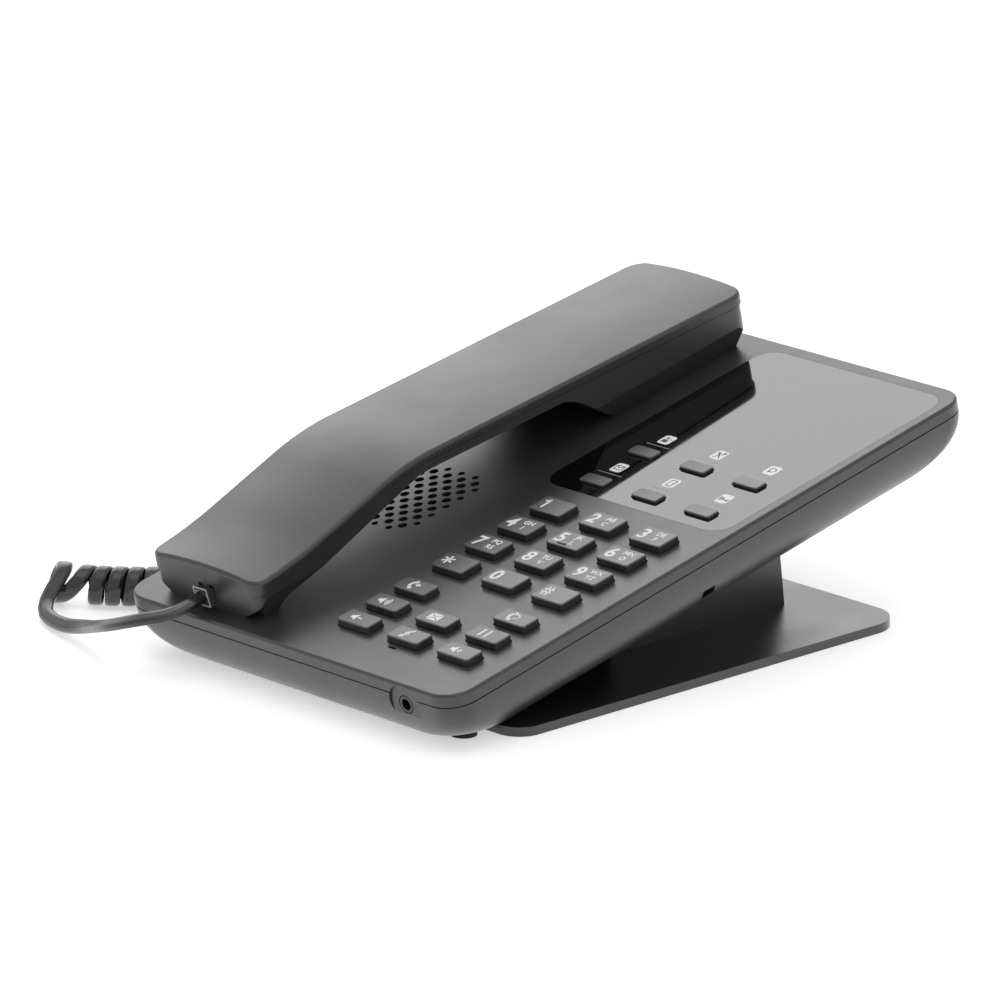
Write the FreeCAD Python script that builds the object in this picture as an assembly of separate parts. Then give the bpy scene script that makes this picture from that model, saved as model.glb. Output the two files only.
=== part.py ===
import FreeCAD, Part
import math
import os

# Desk telephone: a sloping body on a stand, a handset in its cradle, keys and a curly cord.
# Sizes are in millimetres. The body and the handset are drawn on the sloping face: u across it,
# v from its front edge towards the rear, w out of it. Finished shapes are then set on the desk,
# where x runs to the right, y to the rear and z up from the desk.

Vec = FreeCAD.Vector
ACROSS = Vec(1, 0, 0)
ALONG = Vec(0, 1, 0)
OUT = Vec(0, 0, 1)

# Body
body_width = 143.0
body_length = 215.65
face_tilt = 13.13
face_front_height = 18.0
corner_radius = 9.0
edge_round = 1.0
split_depth = 3.8
seam = 0.4
under_depth = 20.5
under_inset = 11.0
under_corner_radius = 24.0
under_step = 15
wall = 2.2
top_thickness = 2.4
slip = 0.3
seat_gap = 0.2

# Keys
key_columns = 3
key_width = 13.3
key_column_pitch = 21.05
key_side_gap = 17.5
key_first_column = body_width / 2 - key_side_gap - (key_columns - 1) * key_column_pitch
digit_length = 8.6
digit_row_pitch = 13.37
digit_last_row = 59.2
function_length = 6.8
function_row_pitch = 11.31
function_last_row = 20.3
key_height = 2.25
key_corner = 1.2
key_edge_round = 0.45
flange_lip = 1.0
flange_thickness = 1.0
key_travel = 1.2

# Glossy faceplate and its buttons
plate_left = -7.5
plate_side_gap = 3.7
plate_right = body_width / 2 - plate_side_gap
plate_front = 112.6
plate_rear_gap = 5.15
plate_rear = body_length - plate_rear_gap
plate_corner = 7.0
plate_thickness = 1.2
button_width = 10.5
button_length = 5.0
button_height = 0.95
button_column_pitch = 22.1
button_side_gap = 14.9
button_first_column = plate_right - button_side_gap - (key_columns - 1) * button_column_pitch
button_front_row = 120.1
button_row_pitch = 20.3

# Loudspeaker and its grille
grille_u = -39.5
grille_v = 86.5
grille_step = 3.0
grille_reach = 6
grille_hole = 2.9
grille_rim_hole = 2.2
speaker_radius = 19.0
speaker_height = 9.0
gasket_thickness = 1.0
gasket_width = 3.0
speaker_frame_thickness = 1.6
speaker_basket_depth = 5.0
speaker_basket_radius = 12.0
speaker_magnet_radius = 11.0
speaker_dish_depth = 2.6
speaker_dust_cap_radius = 5.0
speaker_clearance = 1.5

# Board, rubber mats and jacks inside the body
board_top_depth = 8.0
board_thickness = 1.6
board_side_gap = 4.5
board_half_width = body_width / 2 - board_side_gap
board_front = 16.0
board_rear_gap = 19.65
board_rear = body_length - board_rear_gap
mat_thickness = 1.2
mat_corner = 2.0
board_corner = 3.0
dome_taper = 0.7
dome_radius = 3.0
post_radius = 3.0
screw_radius = 1.5
screw_hole_radius = 1.7
screw_head_radius = 2.7
screw_head_height = 1.9
screw_recess_radius = 1.1
screw_recess_point = 0.2
screw_recess_depth = 0.9
screw_end_gap = 0.6
case_screw_u = 40.0
case_screw_front = 12.5
case_screw_rear_gap = 15.15
board_screw_left_gap = 5.0
board_screw_right_gap = 3.0
board_screw_left_front = 30.0
board_screw_right_front = 50.6
board_screw_left_rear_gap = 46.0
board_screw_right_rear_gap = 44.0
board_screw_depth = 3.6
stand_screw_u = 22.0
stand_screw_v = 135.0
microphone_u = 31.0
microphone_v = 14.75
microphone_radius = 2.9
microphone_height = 2.6
microphone_slot_width = 3.3
microphone_slot_length = 0.8
microphone_slot_corner = 0.35
microphone_port_radius = 0.8
microphone_port_depth = 0.6
headset_u = 50.2
headset_depth = 6.8
headset_hole_radius = 1.8
headset_ring_radius = 2.6
headset_spot_radius = 6.3
headset_spot_depth = 0.7
headset_body_length = 12.4
headset_body_margin = 0.6
headset_back_wall = 1.5
headset_body_setback = 1.6
lock_slot_v = 103.5
lock_slot_length = 5.0
lock_slot_depth = 14.3
lock_slot_height = 2.6
network_rear_gap = 27.15
network_v = body_length - network_rear_gap
network_spacing = 18.0
network_width = 12.0
network_length = 8.6
network_wall = 2.4
plug_width = 6.2
plug_height = 6.2
plug_length = 11.6
plug_grip = 8.8
plug_step = 1.0
plug_nose_share = 0.55
latch_start_share = 0.2
latch_end_share = 0.6
latch_thickness = 0.5
socket_end_gap = 0.6
jack_wall = 1.0
jack_depth = 11.5
base_jack_v = 185.0
base_jack_inset = 6.0
base_jack_face = body_width / 2 - base_jack_inset

# Cradle and hook
ear_rear_gap = 37.65
ear_v = body_length - ear_rear_gap
ear_boss_radius = 16.0
ear_boss_height = 1.9
ear_well_gap = 1.2
ear_well_depth = 2.2
ear_well_floor = 1.4
hook_width = 8.0
hook_length = 6.0
hook_offset = 9.0
hook_rise = 2.8
hook_top_round = 0.8
hook_switch_width = 7.0
hook_switch_length = 10.0

# Handset
handset_u = -39.0
handset_width = 48.0
handset_front = 6.3
handset_rear_gap = 3.15
handset_rear = body_length - handset_rear_gap
handset_front_corner = 5.0
handset_rear_corner = 6.0
handset_front_top = 12.2
handset_knee_v = 22.0
handset_knee_top = 13.2
handset_bend_v = 70.6
handset_bend_top = 23.5
handset_rear_top = 17.2
handset_bend_radius = 90.0
handset_knee_radius = 150.0
handset_crown = 1.7
lid_edge = 2.2
lid_edge_round = 1.2
parting_rear_drop = 1.3
shell_step = 0.5
mouth_lean = 3.6
mouth_brow_lean = 0.8
mouth_brow = 8.0
mouth_heel_v = 15.5
mouth_step_v = 18.0
mouth_step = 3.1
handle_front_v = 66.0
handle_front = 15.6
handle_join_v = 78.0
handle_join = 18.5
chin_half_width = 11.0
chin_rear = 22.0
chin_top = 9.0
ear_start_run = 60.0
ear_start_v = ear_v - ear_start_run
ear_start = 15.9
ear_shoulder_run = 42.0
ear_shoulder_v = ear_v - ear_shoulder_run
ear_shoulder = 15.0
ear_toe_run = 24.0
ear_toe_v = ear_v - ear_toe_run
ear_lean = 5.0
ear_brow_lean = 1.9
ear_brow = 8.0
ear_shoulder_radius = 20.0
ear_toe_radius = 8.0
side_taper = 3.0
side_taper_height = 7.0
rim_inset = 1.0
ear_floor_thickness = 2.0
ear_wall = 1.2
sound_hole_radius = 0.9
sound_ring_step = 5.0
sound_ring_holes = 6
receiver_height = 4.0
receiver_magnet_radius = 8.0
receiver_magnet_height = 2.5
mouth_port_radius = 0.7
channel_half_width = 4.0
channel_depth = 3.6
channel_start_v = 20.0
mouth_microphone_v = 29.0
mouth_floor = 1.4
handle_side = 3.2
handle_belly = 7.8
belly_half_width = 15.0
pocket_tilt = 5.0
pocket_v = 7.2
pocket_w = 4.4
handset_screw_u = 10.0
handset_screw_front = 48.0
handset_screw_rear_gap = 6.0

# Stand
stand_half_width = 70.3
stand_front = 27.0
stand_rear = 186.0
stand_thickness = 2.8
stand_front_corner = 8.0
stand_rear_corner = 12.0
column_half_width = 37.0
column_front = 96.0
column_rear = 167.9
column_lean = 7.3
column_wall = 2.6
foot_radius = 4.0
foot_x = 55.5
foot_y = 19.5

# Cord
wire_radius = 1.8
coil_radius = 4.4
coil_pitch = 5.0
coil_turns = 34
coil_start_x = -117.9
coil_start_y = 18.0
coil_heading = 35.0
coil_first_run = 10.5
coil_bend_radius = 60.0
coil_start_angle = 150.0
first_turn_extra = 1.5
first_turn_skew = 7.5
first_turn_grow = 1.4
coil_end_angle = 180.0
lead_end_run = 10.5
coil_lead_run = 16.3
jack_lead_run = 12.0
bend_share = 0.45
lead_points = (
    (-46.5, -14.0, 18.2), (-58.5, -14.2, 13.8), (-71.0, -9.8, 9.4),
    (-82.5, -5.0, 5.6), (-95.0, -3.4, 2.8),
)
base_lead_points = ((-109.0, 180.0, 22.0), (-106.0, 182.3, 36.5), (-93.5, 183.3, 44.9))

# Sizes that follow from those above
half_width = body_width / 2
tilt = math.radians(face_tilt)
board_under_depth = board_top_depth + board_thickness
floor_depth = under_depth - wall
flange_top = -(top_thickness + seat_gap)
ear_well_radius = ear_boss_radius + ear_well_gap
handset_half = handset_width / 2
ramp_slope = (handset_bend_top - handset_knee_top) / (handset_bend_v - handset_knee_v)
front_slope = (handset_knee_top - handset_front_top) / (handset_knee_v - handset_front)
rear_slope = (handset_rear_top - handset_bend_top) / (handset_rear - handset_bend_v)
mouth_slope = (handle_front - mouth_step) / (handle_front_v - mouth_step_v)
parting_slope = rear_slope - parting_rear_drop / (handset_rear - handset_bend_v)
coil_height = coil_radius + wire_radius
ear_floor = ear_floor_thickness - ear_boss_height
overrun = 8.0
far = 60.0

# The body's extent from front to rear, measured on the desk, sets the middle of the frame
front_reach = edge_round * (math.cos(tilt) + math.sin(tilt) - 1)
side_drop = under_depth - split_depth - seam
side_swell = math.hypot(under_inset * math.cos(tilt), side_drop * math.sin(tilt))
rear_reach = body_length * math.cos(tilt) + (split_depth + seam) * math.sin(tilt)
rear_reach = rear_reach + side_swell - under_inset * math.cos(tilt)
depth_middle = (front_reach + rear_reach) / 2
FACE_TURN = FreeCAD.Rotation(ACROSS, face_tilt)
ON_DESK = FreeCAD.Placement(Vec(0, -depth_middle, face_front_height), FACE_TURN)


def export(name, shape):
    """Write one named piece."""
    shape.exportStep("parts/" + name + ".step")


def export_on_face(name, shape):
    """Set a piece drawn on the sloping face on the desk, and write it."""
    placed = shape.copy()
    placed.Placement = ON_DESK.multiply(placed.Placement)
    export(name, placed)


def desk_point(x, y, z):
    """Point on the desk, with y measured from the face's front edge."""
    return Vec(x, y - depth_middle, z)


def underside_height(y):
    """Height of the body's flat underside above the desk, y from the face's front edge."""
    return face_front_height + y * math.tan(tilt) - under_depth / math.cos(tilt)


def block(u0, u1, v0, v1, w0, w1):
    """Rectangular block between two corners."""
    return Part.makeBox(u1 - u0, v1 - v0, w1 - w0, Vec(u0, v0, w0))


def post(radius, u, v, w0, w1):
    """Upright round post."""
    return Part.makeCylinder(radius, w1 - w0, Vec(u, v, w0), OUT)


def rounded_wire(u0, u1, v0, v1, front_radius, rear_radius, w):
    """Rectangle with rounded corners at height w."""
    f = front_radius
    r = rear_radius
    front_cut = f * (1 - math.sqrt(0.5))
    rear_cut = r * (1 - math.sqrt(0.5))
    runs = [
        Part.LineSegment(Vec(u0 + f, v0, w), Vec(u1 - f, v0, w)),
        Part.Arc(Vec(u1 - f, v0, w), Vec(u1 - front_cut, v0 + front_cut, w), Vec(u1, v0 + f, w)),
        Part.LineSegment(Vec(u1, v0 + f, w), Vec(u1, v1 - r, w)),
        Part.Arc(Vec(u1, v1 - r, w), Vec(u1 - rear_cut, v1 - rear_cut, w), Vec(u1 - r, v1, w)),
        Part.LineSegment(Vec(u1 - r, v1, w), Vec(u0 + r, v1, w)),
        Part.Arc(Vec(u0 + r, v1, w), Vec(u0 + rear_cut, v1 - rear_cut, w), Vec(u0, v1 - r, w)),
        Part.LineSegment(Vec(u0, v1 - r, w), Vec(u0, v0 + f, w)),
        Part.Arc(Vec(u0, v0 + f, w), Vec(u0 + front_cut, v0 + front_cut, w), Vec(u0 + f, v0, w)),
    ]
    return Part.Wire([run.toShape() for run in runs])


def rounded_block(u0, u1, v0, v1, front_radius, rear_radius, w0, w1):
    """Upright block with rounded corners."""
    outline = rounded_wire(u0, u1, v0, v1, front_radius, rear_radius, w0)
    return Part.Face(outline).extrude(OUT * (w1 - w0))


def centred_block(u, v, width, length, radius, w0, w1):
    """Upright block with equal rounded corners about a centre."""
    half = width / 2
    reach = length / 2
    return rounded_block(u - half, u + half, v - reach, v + reach, radius, radius, w0, w1)


def profile_block(points, u0, u1):
    """Block across the face with the outline of (v, w) points."""
    corners = [Vec(u0, v, w) for v, w in points]
    return Part.Face(Part.makePolygon(corners + corners[:1])).extrude(ACROSS * (u1 - u0))


def round_edges_at(shape, w, radius):
    """Round the edges that lie wholly at height w."""
    near = 1e-4
    flat = [e for e in shape.Edges if e.BoundBox.ZLength < near]
    return shape.makeFillet(radius, [e for e in flat if abs(e.BoundBox.ZMin - w) < near])


def joined(shapes):
    """One solid from shapes that touch or overlap."""
    return shapes[0].multiFuse(shapes[1:]).removeSplitter()


def rounded_path(points, radii=None):
    """Straight runs joined by tangent arcs, with the arcs' radii."""
    edges = []
    used = []
    start = points[0]
    for i in range(1, len(points) - 1):
        before = points[i] - points[i - 1]
        after = points[i + 1] - points[i]
        half_turn = before.getAngle(after) / 2
        reach = bend_share * min(before.Length, after.Length)
        if radii:
            reach = radii[i - 1] * math.tan(half_turn)
        radius = reach / math.tan(half_turn)
        enter = points[i] - before * (reach / before.Length)
        leave = points[i] + after * (reach / after.Length)
        inward = (enter + leave) * 0.5 - points[i]
        middle = points[i] + inward * ((radius / math.cos(half_turn) - radius) / inward.Length)
        edges.append(Part.LineSegment(start, enter).toShape())
        edges.append(Part.Arc(enter, middle, leave).toShape())
        used.append(radius)
        start = leave
    edges.append(Part.LineSegment(start, points[-1]).toShape())
    return Part.Wire(edges), used


# Places of the keys

def column_u(column):
    """Across position of a key column."""
    return key_first_column + key_column_pitch * column


def digit_row_v(row):
    """Position of a digit row, counted from the rear."""
    return digit_last_row + digit_row_pitch * (3 - row)


def function_row_v(row):
    """Position of a function row, counted from the rear."""
    return function_last_row + function_row_pitch * (2 - row)


DIGITS = ("1", "2", "3", "4", "5", "6", "7", "8", "9", "star", "0", "hash")
FUNCTIONS = (
    ("transfer", 0, 0), ("speaker", 0, 1), ("volume_down", 0, 2),
    ("message", 1, 1), ("flash", 1, 2),
    ("redial", 2, 0), ("hold", 2, 1), ("volume_up", 2, 2),
)

digit_places = [("key_" + n, column_u(i % 3), digit_row_v(i // 3)) for i, n in enumerate(DIGITS)]
function_places = [("key_" + n, column_u(c), function_row_v(r)) for n, c, r in FUNCTIONS]
button_places = []
for row in range(2):
    for column in range(key_columns):
        u = button_first_column + button_column_pitch * column
        v = button_front_row + button_row_pitch * (1 - row)
        button_places.append(("service_button_%d" % (row * key_columns + column + 1), u, v))

KEY_SETS = (
    (digit_places, key_width, digit_length, key_height),
    (function_places, key_width, function_length, key_height),
    (button_places, button_width, button_length, button_height),
)


def make_keys():
    """Caps with a retaining flange, each in its own hole."""
    for places, width, length, height in KEY_SETS:
        cap = centred_block(0, 0, width, length, key_corner, flange_top, height)
        cap = round_edges_at(cap, height, key_edge_round)
        flange_bottom = flange_top - flange_thickness
        lip = 2 * flange_lip
        flange = centred_block(0, 0, width + lip, length + lip, key_corner, flange_bottom, flange_top)
        key = joined([cap, flange])
        for name, u, v in places:
            export_on_face(name, key.translated(Vec(u, v, 0)))


def key_hole(u, v, width, length):
    """Hole that one cap slides in."""
    return centred_block(u, v, width + 2 * slip, length + 2 * slip, key_corner + slip, -far, far)


def key_windows():
    """Holes of all the caps."""
    windows = []
    for places, width, length, height in KEY_SETS:
        for name, u, v in places:
            windows.append(key_hole(u, v, width, length))
    return windows


# Upper case and faceplate

def grille_holes():
    """Staggered round holes in front of the loudspeaker."""
    holes = []
    for i in range(-grille_reach, grille_reach + 1):
        for j in range(-grille_reach, grille_reach + 1):
            corner = abs(i) + abs(j) > 2 * grille_reach - 2
            if (i + j) % 2 or corner:
                continue
            rim = max(abs(i), abs(j)) == grille_reach
            size = grille_rim_hole if rim else grille_hole
            u = grille_u + grille_step * i
            v = grille_v + grille_step * j
            holes.append(post(size / 2, u, v, -far, far))
    return holes


def headset_bore(radius, v0, v1):
    """Round body along the face, on the headset jack's axis."""
    return Part.makeCylinder(radius, v1 - v0, Vec(headset_u, v0, -headset_depth), ALONG)


case_screw_rows = (case_screw_front, body_length - case_screw_rear_gap)
case_screw_places = [(side * case_screw_u, v) for v in case_screw_rows for side in (-1, 1)]
case_boss_end = 13.0


def hook_place():
    """Centre of the hook plunger on the face."""
    return handset_u, ear_v - hook_offset


def faceplate_body(gap):
    """Outline of the faceplate, grown by a gap, through its own thickness."""
    return rounded_block(plate_left - gap, plate_right + gap, plate_front - gap, plate_rear + gap,
                         plate_corner + gap, plate_corner + gap, -plate_thickness, 0)


def make_upper_case():
    """Top shell with the key holes, grille, faceplate recess and earpiece well."""
    outer = rounded_block(-half_width, half_width, 0, body_length, corner_radius, corner_radius,
                          -split_depth, 0)
    outer = round_edges_at(outer, 0, edge_round)
    inner = rounded_block(wall - half_width, half_width - wall, wall, body_length - wall,
                          corner_radius - wall, corner_radius - wall, -far, -top_thickness)
    shell = outer.cut(inner)
    cup_low = -(ear_well_depth + ear_well_floor)
    cup = post(ear_well_radius + ear_well_floor, handset_u, ear_v, cup_low, -top_thickness / 2)
    bosses = [post(post_radius, u, v, -case_boss_end, -top_thickness / 2) for u, v in case_screw_places]
    shell = joined([shell, cup] + bosses)
    cuts = key_windows() + grille_holes()
    cuts.append(faceplate_body(seat_gap / 2))
    cuts.append(post(ear_well_radius, handset_u, ear_v, -ear_well_depth, far))
    hook_u, hook_v = hook_place()
    cuts.append(key_hole(hook_u, hook_v, hook_width, hook_length))
    cuts.append(centred_block(microphone_u, microphone_v, microphone_slot_width, microphone_slot_length,
                              microphone_slot_corner, -far, far))
    cuts.append(headset_bore(headset_spot_radius, -far, headset_spot_depth))
    cuts.append(headset_bore(headset_ring_radius + slip, -far, headset_body_length))
    for u, v in case_screw_places:
        cuts.append(post(screw_hole_radius, u, v, -far, -top_thickness))
    shell = shell.cut(cuts)
    export_on_face("upper_case", shell)


def make_faceplate():
    """Glossy plate with a hole for each button."""
    holes = []
    for name, u, v in button_places:
        holes.append(key_hole(u, v, button_width, button_length))
    export_on_face("faceplate", faceplate_body(0).cut(holes))


# Lower case

def under_outline(angle, shrink):
    """Outline of the lower case where its side has curved in by an angle."""
    turn = math.radians(angle)
    share = 1 - math.cos(turn)
    inset = under_inset * share + shrink
    radius = corner_radius + (under_corner_radius - corner_radius) * share - shrink
    w = -(split_depth + seam) - (side_drop - shrink) * math.sin(turn)
    side = half_width - inset
    return rounded_wire(-side, side, inset, body_length - inset, radius, radius, w)


def under_body(shrink):
    """Body of the lower case, or the space inside it."""
    sections = [under_outline(angle, shrink) for angle in range(0, 91, under_step)]
    return Part.makeLoft(sections, True, False)


board_screw_left = board_screw_left_gap - board_half_width
board_screw_right = board_half_width - board_screw_right_gap
board_screw_places = [
    (board_screw_left, board_screw_left_front),
    (board_screw_left, board_rear - board_screw_left_rear_gap),
    (board_screw_right, board_screw_right_front),
    (board_screw_right, board_rear - board_screw_right_rear_gap),
]
stand_screw_places = [(-stand_screw_u, stand_screw_v), (stand_screw_u, stand_screw_v)]
stand_boss_top = 12.0
counterbore = 3.0
boss_margin = 1.0
board_screw_tip = board_under_depth + board_screw_depth


def base_jack_box(gap, reach):
    """Outline of the side jack's housing, grown by a gap and reaching out through the side."""
    half = plug_width / 2 + seat_gap + jack_wall + gap
    top = -board_under_depth + gap / 2
    low = -(board_under_depth + plug_height + 2 * seat_gap + 2 * jack_wall) - gap
    return block(-base_jack_face - reach, -base_jack_face + jack_depth + jack_wall + gap,
                 base_jack_v - half, base_jack_v + half, low, top)


def network_window(side):
    """Mouth and space of one network socket."""
    u = side * network_spacing / 2
    return block(u - network_width / 2, u + network_width / 2, network_v - network_length / 2,
                 network_v + network_length / 2, -far, -board_top_depth)


def make_lower_case():
    """Bottom shell with its curved sides, posts, bosses and openings for the jacks."""
    outer = under_body(0)
    rim = rounded_block(seam - half_width, half_width - seam, seam, body_length - seam,
                        corner_radius - seam, corner_radius - seam, -(split_depth + seam), -split_depth)
    mouth = rounded_block(wall - half_width, half_width - wall, wall, body_length - wall,
                          corner_radius - wall, corner_radius - wall, -(split_depth + seam), far)
    shell = joined([outer, rim]).cut([under_body(wall), mouth])
    posts = []
    for u, v in board_screw_places:
        posts.append(post(post_radius, u, v, -under_depth, -board_under_depth).common(outer))
    for u, v in case_screw_places:
        boss = post(post_radius + boss_margin, u, v, -under_depth, -case_boss_end - seat_gap)
        posts.append(boss.common(outer))
    for u, v in stand_screw_places:
        posts.append(post(post_radius + boss_margin, u, v, -under_depth, -stand_boss_top))
    shell = joined([shell] + posts)
    cuts = [network_window(side) for side in (-1, 1)]
    cuts.append(base_jack_box(seat_gap, wall + under_inset))
    cuts.append(headset_bore(headset_spot_radius, -far, headset_spot_depth))
    cuts.append(headset_bore(headset_ring_radius + slip, -far, wall + headset_body_setback))
    cuts.append(block(half_width - under_inset, far + half_width,
                      lock_slot_v - lock_slot_length / 2, lock_slot_v + lock_slot_length / 2,
                      -lock_slot_depth - lock_slot_height / 2, -lock_slot_depth + lock_slot_height / 2))
    for u, v in board_screw_places:
        cuts.append(post(screw_hole_radius, u, v, -board_screw_tip - screw_end_gap, -board_under_depth))
    for u, v in case_screw_places:
        cuts.append(post(screw_hole_radius, u, v, -far, -case_boss_end))
        cuts.append(post(screw_head_radius + slip, u, v, -far, -under_depth + counterbore))
    for u, v in stand_screw_places:
        cuts.append(post(screw_hole_radius, u, v, -far, -stand_boss_top - wall))
    export_on_face("lower_case", shell.cut(cuts))


# Screws

def screw(u, v, head_w, tip_w):
    """Pan-head screw along w with its head's outer face at head_w."""
    way = 1 if tip_w > head_w else -1
    axis = OUT * way
    neck = head_w + way * screw_head_height
    head = Part.makeCylinder(screw_head_radius, screw_head_height, Vec(u, v, head_w), axis)
    shank = Part.makeCylinder(screw_radius, abs(tip_w - neck), Vec(u, v, neck), axis)
    start = Vec(u, v, head_w)
    recess = Part.makeCone(screw_recess_radius, screw_recess_point, screw_recess_depth, start, axis)
    return joined([head, shank]).cut(recess)


def make_screws():
    """Screws of the case, the board and the stand."""
    case_head = -under_depth + counterbore - screw_head_height
    case_tip = -top_thickness - screw_end_gap
    case_set = [screw(u, v, case_head, case_tip) for u, v in case_screw_places]
    export_on_face("case_screws", Part.Compound(case_set))
    board_head = -board_top_depth + screw_head_height
    board_set = [screw(u, v, board_head, -board_screw_tip) for u, v in board_screw_places]
    export_on_face("board_screws", Part.Compound(board_set))
    stand_head = -under_depth - column_wall - screw_head_height
    stand_tip = -stand_boss_top - wall - screw_end_gap
    stand_set = [screw(u, v, stand_head, stand_tip) for u, v in stand_screw_places]
    export_on_face("stand_screws", Part.Compound(stand_set))


# Pieces inside the body

def network_housing():
    """Outline of the double network socket."""
    reach = network_spacing / 2 + network_width / 2 + network_wall
    half = network_length / 2 + network_wall
    top = -board_top_depth + network_wall
    return block(-reach, reach, network_v - half, network_v + half, -floor_depth, top)


def make_board():
    """Circuit board, cut away round the loudspeaker and the network sockets."""
    board = rounded_block(-board_half_width, board_half_width, board_front, board_rear,
                          board_corner, board_corner, -board_under_depth, -board_top_depth)
    cuts = [post(speaker_radius + speaker_clearance, grille_u, grille_v, -far, far)]
    socket = network_housing()
    box = socket.BoundBox
    cuts.append(block(box.XMin - slip, box.XMax + slip, box.YMin - slip, far + board_rear, -far, far))
    cuts += [post(screw_hole_radius, u, v, -far, far) for u, v in board_screw_places]
    export_on_face("main_board", board.cut(cuts))


def make_mat(name, places, widest, longest):
    """Rubber mat on the board with a dome under each key."""
    us = [u for label, u, v in places]
    vs = [v for label, u, v in places]
    side = widest / 2
    ends = longest / 2
    low = -board_top_depth
    high = low + mat_thickness
    sheet = rounded_block(min(us) - side, max(us) + side, min(vs) - ends, max(vs) + ends,
                          mat_corner, mat_corner, low, high)
    dome_height = flange_top - flange_thickness - key_travel - seat_gap - high
    dome_tip = dome_radius * dome_taper
    domes = []
    for label, u, v in places:
        domes.append(Part.makeCone(dome_radius, dome_tip, dome_height, Vec(u, v, high), OUT))
    export_on_face(name, joined([sheet] + domes))


def make_speaker():
    """Loudspeaker with its frame, basket and magnet, and the foam ring in front of it."""
    top = -top_thickness
    ring = post(speaker_radius, grille_u, grille_v, top - gasket_thickness, top)
    ring = ring.cut(post(speaker_radius - gasket_width, grille_u, grille_v, -far, far))
    export_on_face("speaker_gasket", ring.cut(grille_holes()))
    frame_top = top - gasket_thickness
    frame_low = frame_top - speaker_frame_thickness
    basket_low = frame_top - speaker_basket_depth
    inside = speaker_radius - gasket_width
    frame = post(speaker_radius, grille_u, grille_v, frame_low, frame_top)
    basket = Part.makeCone(speaker_basket_radius, inside, frame_low - basket_low,
                           Vec(grille_u, grille_v, basket_low), OUT)
    magnet = post(speaker_magnet_radius, grille_u, grille_v, frame_top - speaker_height, basket_low)
    dish = Part.makeCone(speaker_dust_cap_radius, inside, speaker_dish_depth,
                         Vec(grille_u, grille_v, frame_top - speaker_dish_depth), OUT)
    export_on_face("speaker", joined([frame, basket, magnet]).cut(dish))


def make_base_microphone():
    """Hands-free microphone capsule under its slot, clear of the nearest key."""
    top = -top_thickness
    key_edge = function_last_row - function_length / 2 - flange_lip
    v = key_edge - seat_gap - microphone_radius
    capsule = post(microphone_radius, microphone_u, v, top - microphone_height, top)
    port = post(microphone_port_radius, microphone_u, microphone_v, top - microphone_port_depth, top)
    export_on_face("base_microphone", capsule.cut(port))


def make_headset_jack():
    """Round headset socket in the front wall, with its housing behind."""
    body_start = wall + headset_body_setback
    collar = headset_bore(headset_ring_radius, headset_spot_depth, body_start + seat_gap)
    half = headset_ring_radius + headset_body_margin
    housing = block(headset_u - half, headset_u + half, body_start, headset_body_length,
                    -headset_depth - half, -headset_depth + half)
    bore = headset_bore(headset_hole_radius, -far, headset_body_length - headset_back_wall)
    export_on_face("headset_jack", joined([collar, housing]).cut(bore))


def make_network_jack():
    """Double network socket that opens downwards through the case floor."""
    body = network_housing()
    export_on_face("network_jack", body.cut([network_window(side) for side in (-1, 1)]))


def plug(length):
    """Small modular plug along +v from its cord end, with its spring latch on top."""
    half = plug_width / 2
    top = plug_height / 2
    latch_start = length * latch_start_share
    latch_end = length * latch_end_share
    body = block(-half, half, 0, length, -top, top - plug_step)
    nose = block(-half, half, length * plug_nose_share, length, -top, top)
    latch = profile_block([(latch_start, top - latch_thickness), (latch_end, top - plug_step - seat_gap),
                           (latch_end, top - seat_gap), (latch_start, top)], -half / 2, half / 2)
    return joined([body, nose, latch])


def socket_space(gap):
    """Space in a modular jack for the plug, along +v from the jack's face."""
    half = plug_width / 2 + gap
    rise = plug_height / 2 + gap
    return block(-half, half, -far, plug_grip + socket_end_gap, -rise, rise)


def to_base_jack(shape):
    """Turn a shape along +v into the side jack, which opens towards -u."""
    turned = shape.rotated(Vec(0, 0, 0), OUT, -90)
    w = -(board_under_depth + jack_wall + seat_gap + plug_height / 2)
    return turned.translated(Vec(-base_jack_face, base_jack_v, w))


def make_base_jack():
    """Jack for the handset cord on the left side, with its plug."""
    housing = base_jack_box(0, 0)
    export_on_face("base_jack", housing.cut(to_base_jack(socket_space(seat_gap))))
    body = plug(plug_length).translated(Vec(0, plug_grip - plug_length, 0))
    export_on_face("base_plug", to_base_jack(body))


def make_hook():
    """Hook plunger that the earpiece holds down, and the switch beside it."""
    u, v = hook_place()
    top = -ear_boss_height
    stop_top = -(ear_well_depth + ear_well_floor) - seat_gap - hook_rise
    stop_low = -board_top_depth + slip
    stem = centred_block(u, v, hook_width, hook_length, key_corner, stop_low, top)
    stem = round_edges_at(stem, top, hook_top_round)
    lip = 2 * flange_lip
    stop = centred_block(u, v, hook_width + lip, hook_length + lip, key_corner, stop_low, stop_top)
    export_on_face("hook_plunger", joined([stem, stop]))
    near = u + hook_width / 2 + flange_lip + slip
    reach = hook_switch_length / 2
    switch_top = -ear_well_depth - ear_well_floor - seat_gap
    body = block(near, near + hook_switch_width, v - reach, v + reach, -board_top_depth, switch_top)
    export_on_face("hook_switch", body)


# Stand and feet

def make_stand():
    """Flat plate with a hollow column that carries the rear of the body."""
    plate = rounded_block(-stand_half_width, stand_half_width,
                          stand_front - depth_middle, stand_rear - depth_middle,
                          stand_front_corner, stand_rear_corner, 0, stand_thickness)
    outer = column_outline(0)
    inner = column_outline(column_wall)
    column = profile_block(outer, -column_half_width, column_half_width)
    hollow = profile_block(inner, column_wall - column_half_width, column_half_width - column_wall)
    screw_cuts = []
    for u, v in stand_screw_places:
        hole = post(screw_hole_radius, u, v, -under_depth - far, -under_depth + column_wall)
        hole.Placement = ON_DESK.multiply(hole.Placement)
        screw_cuts.append(hole)
    export("stand", joined([plate, column]).cut([hollow] + screw_cuts))


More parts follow.
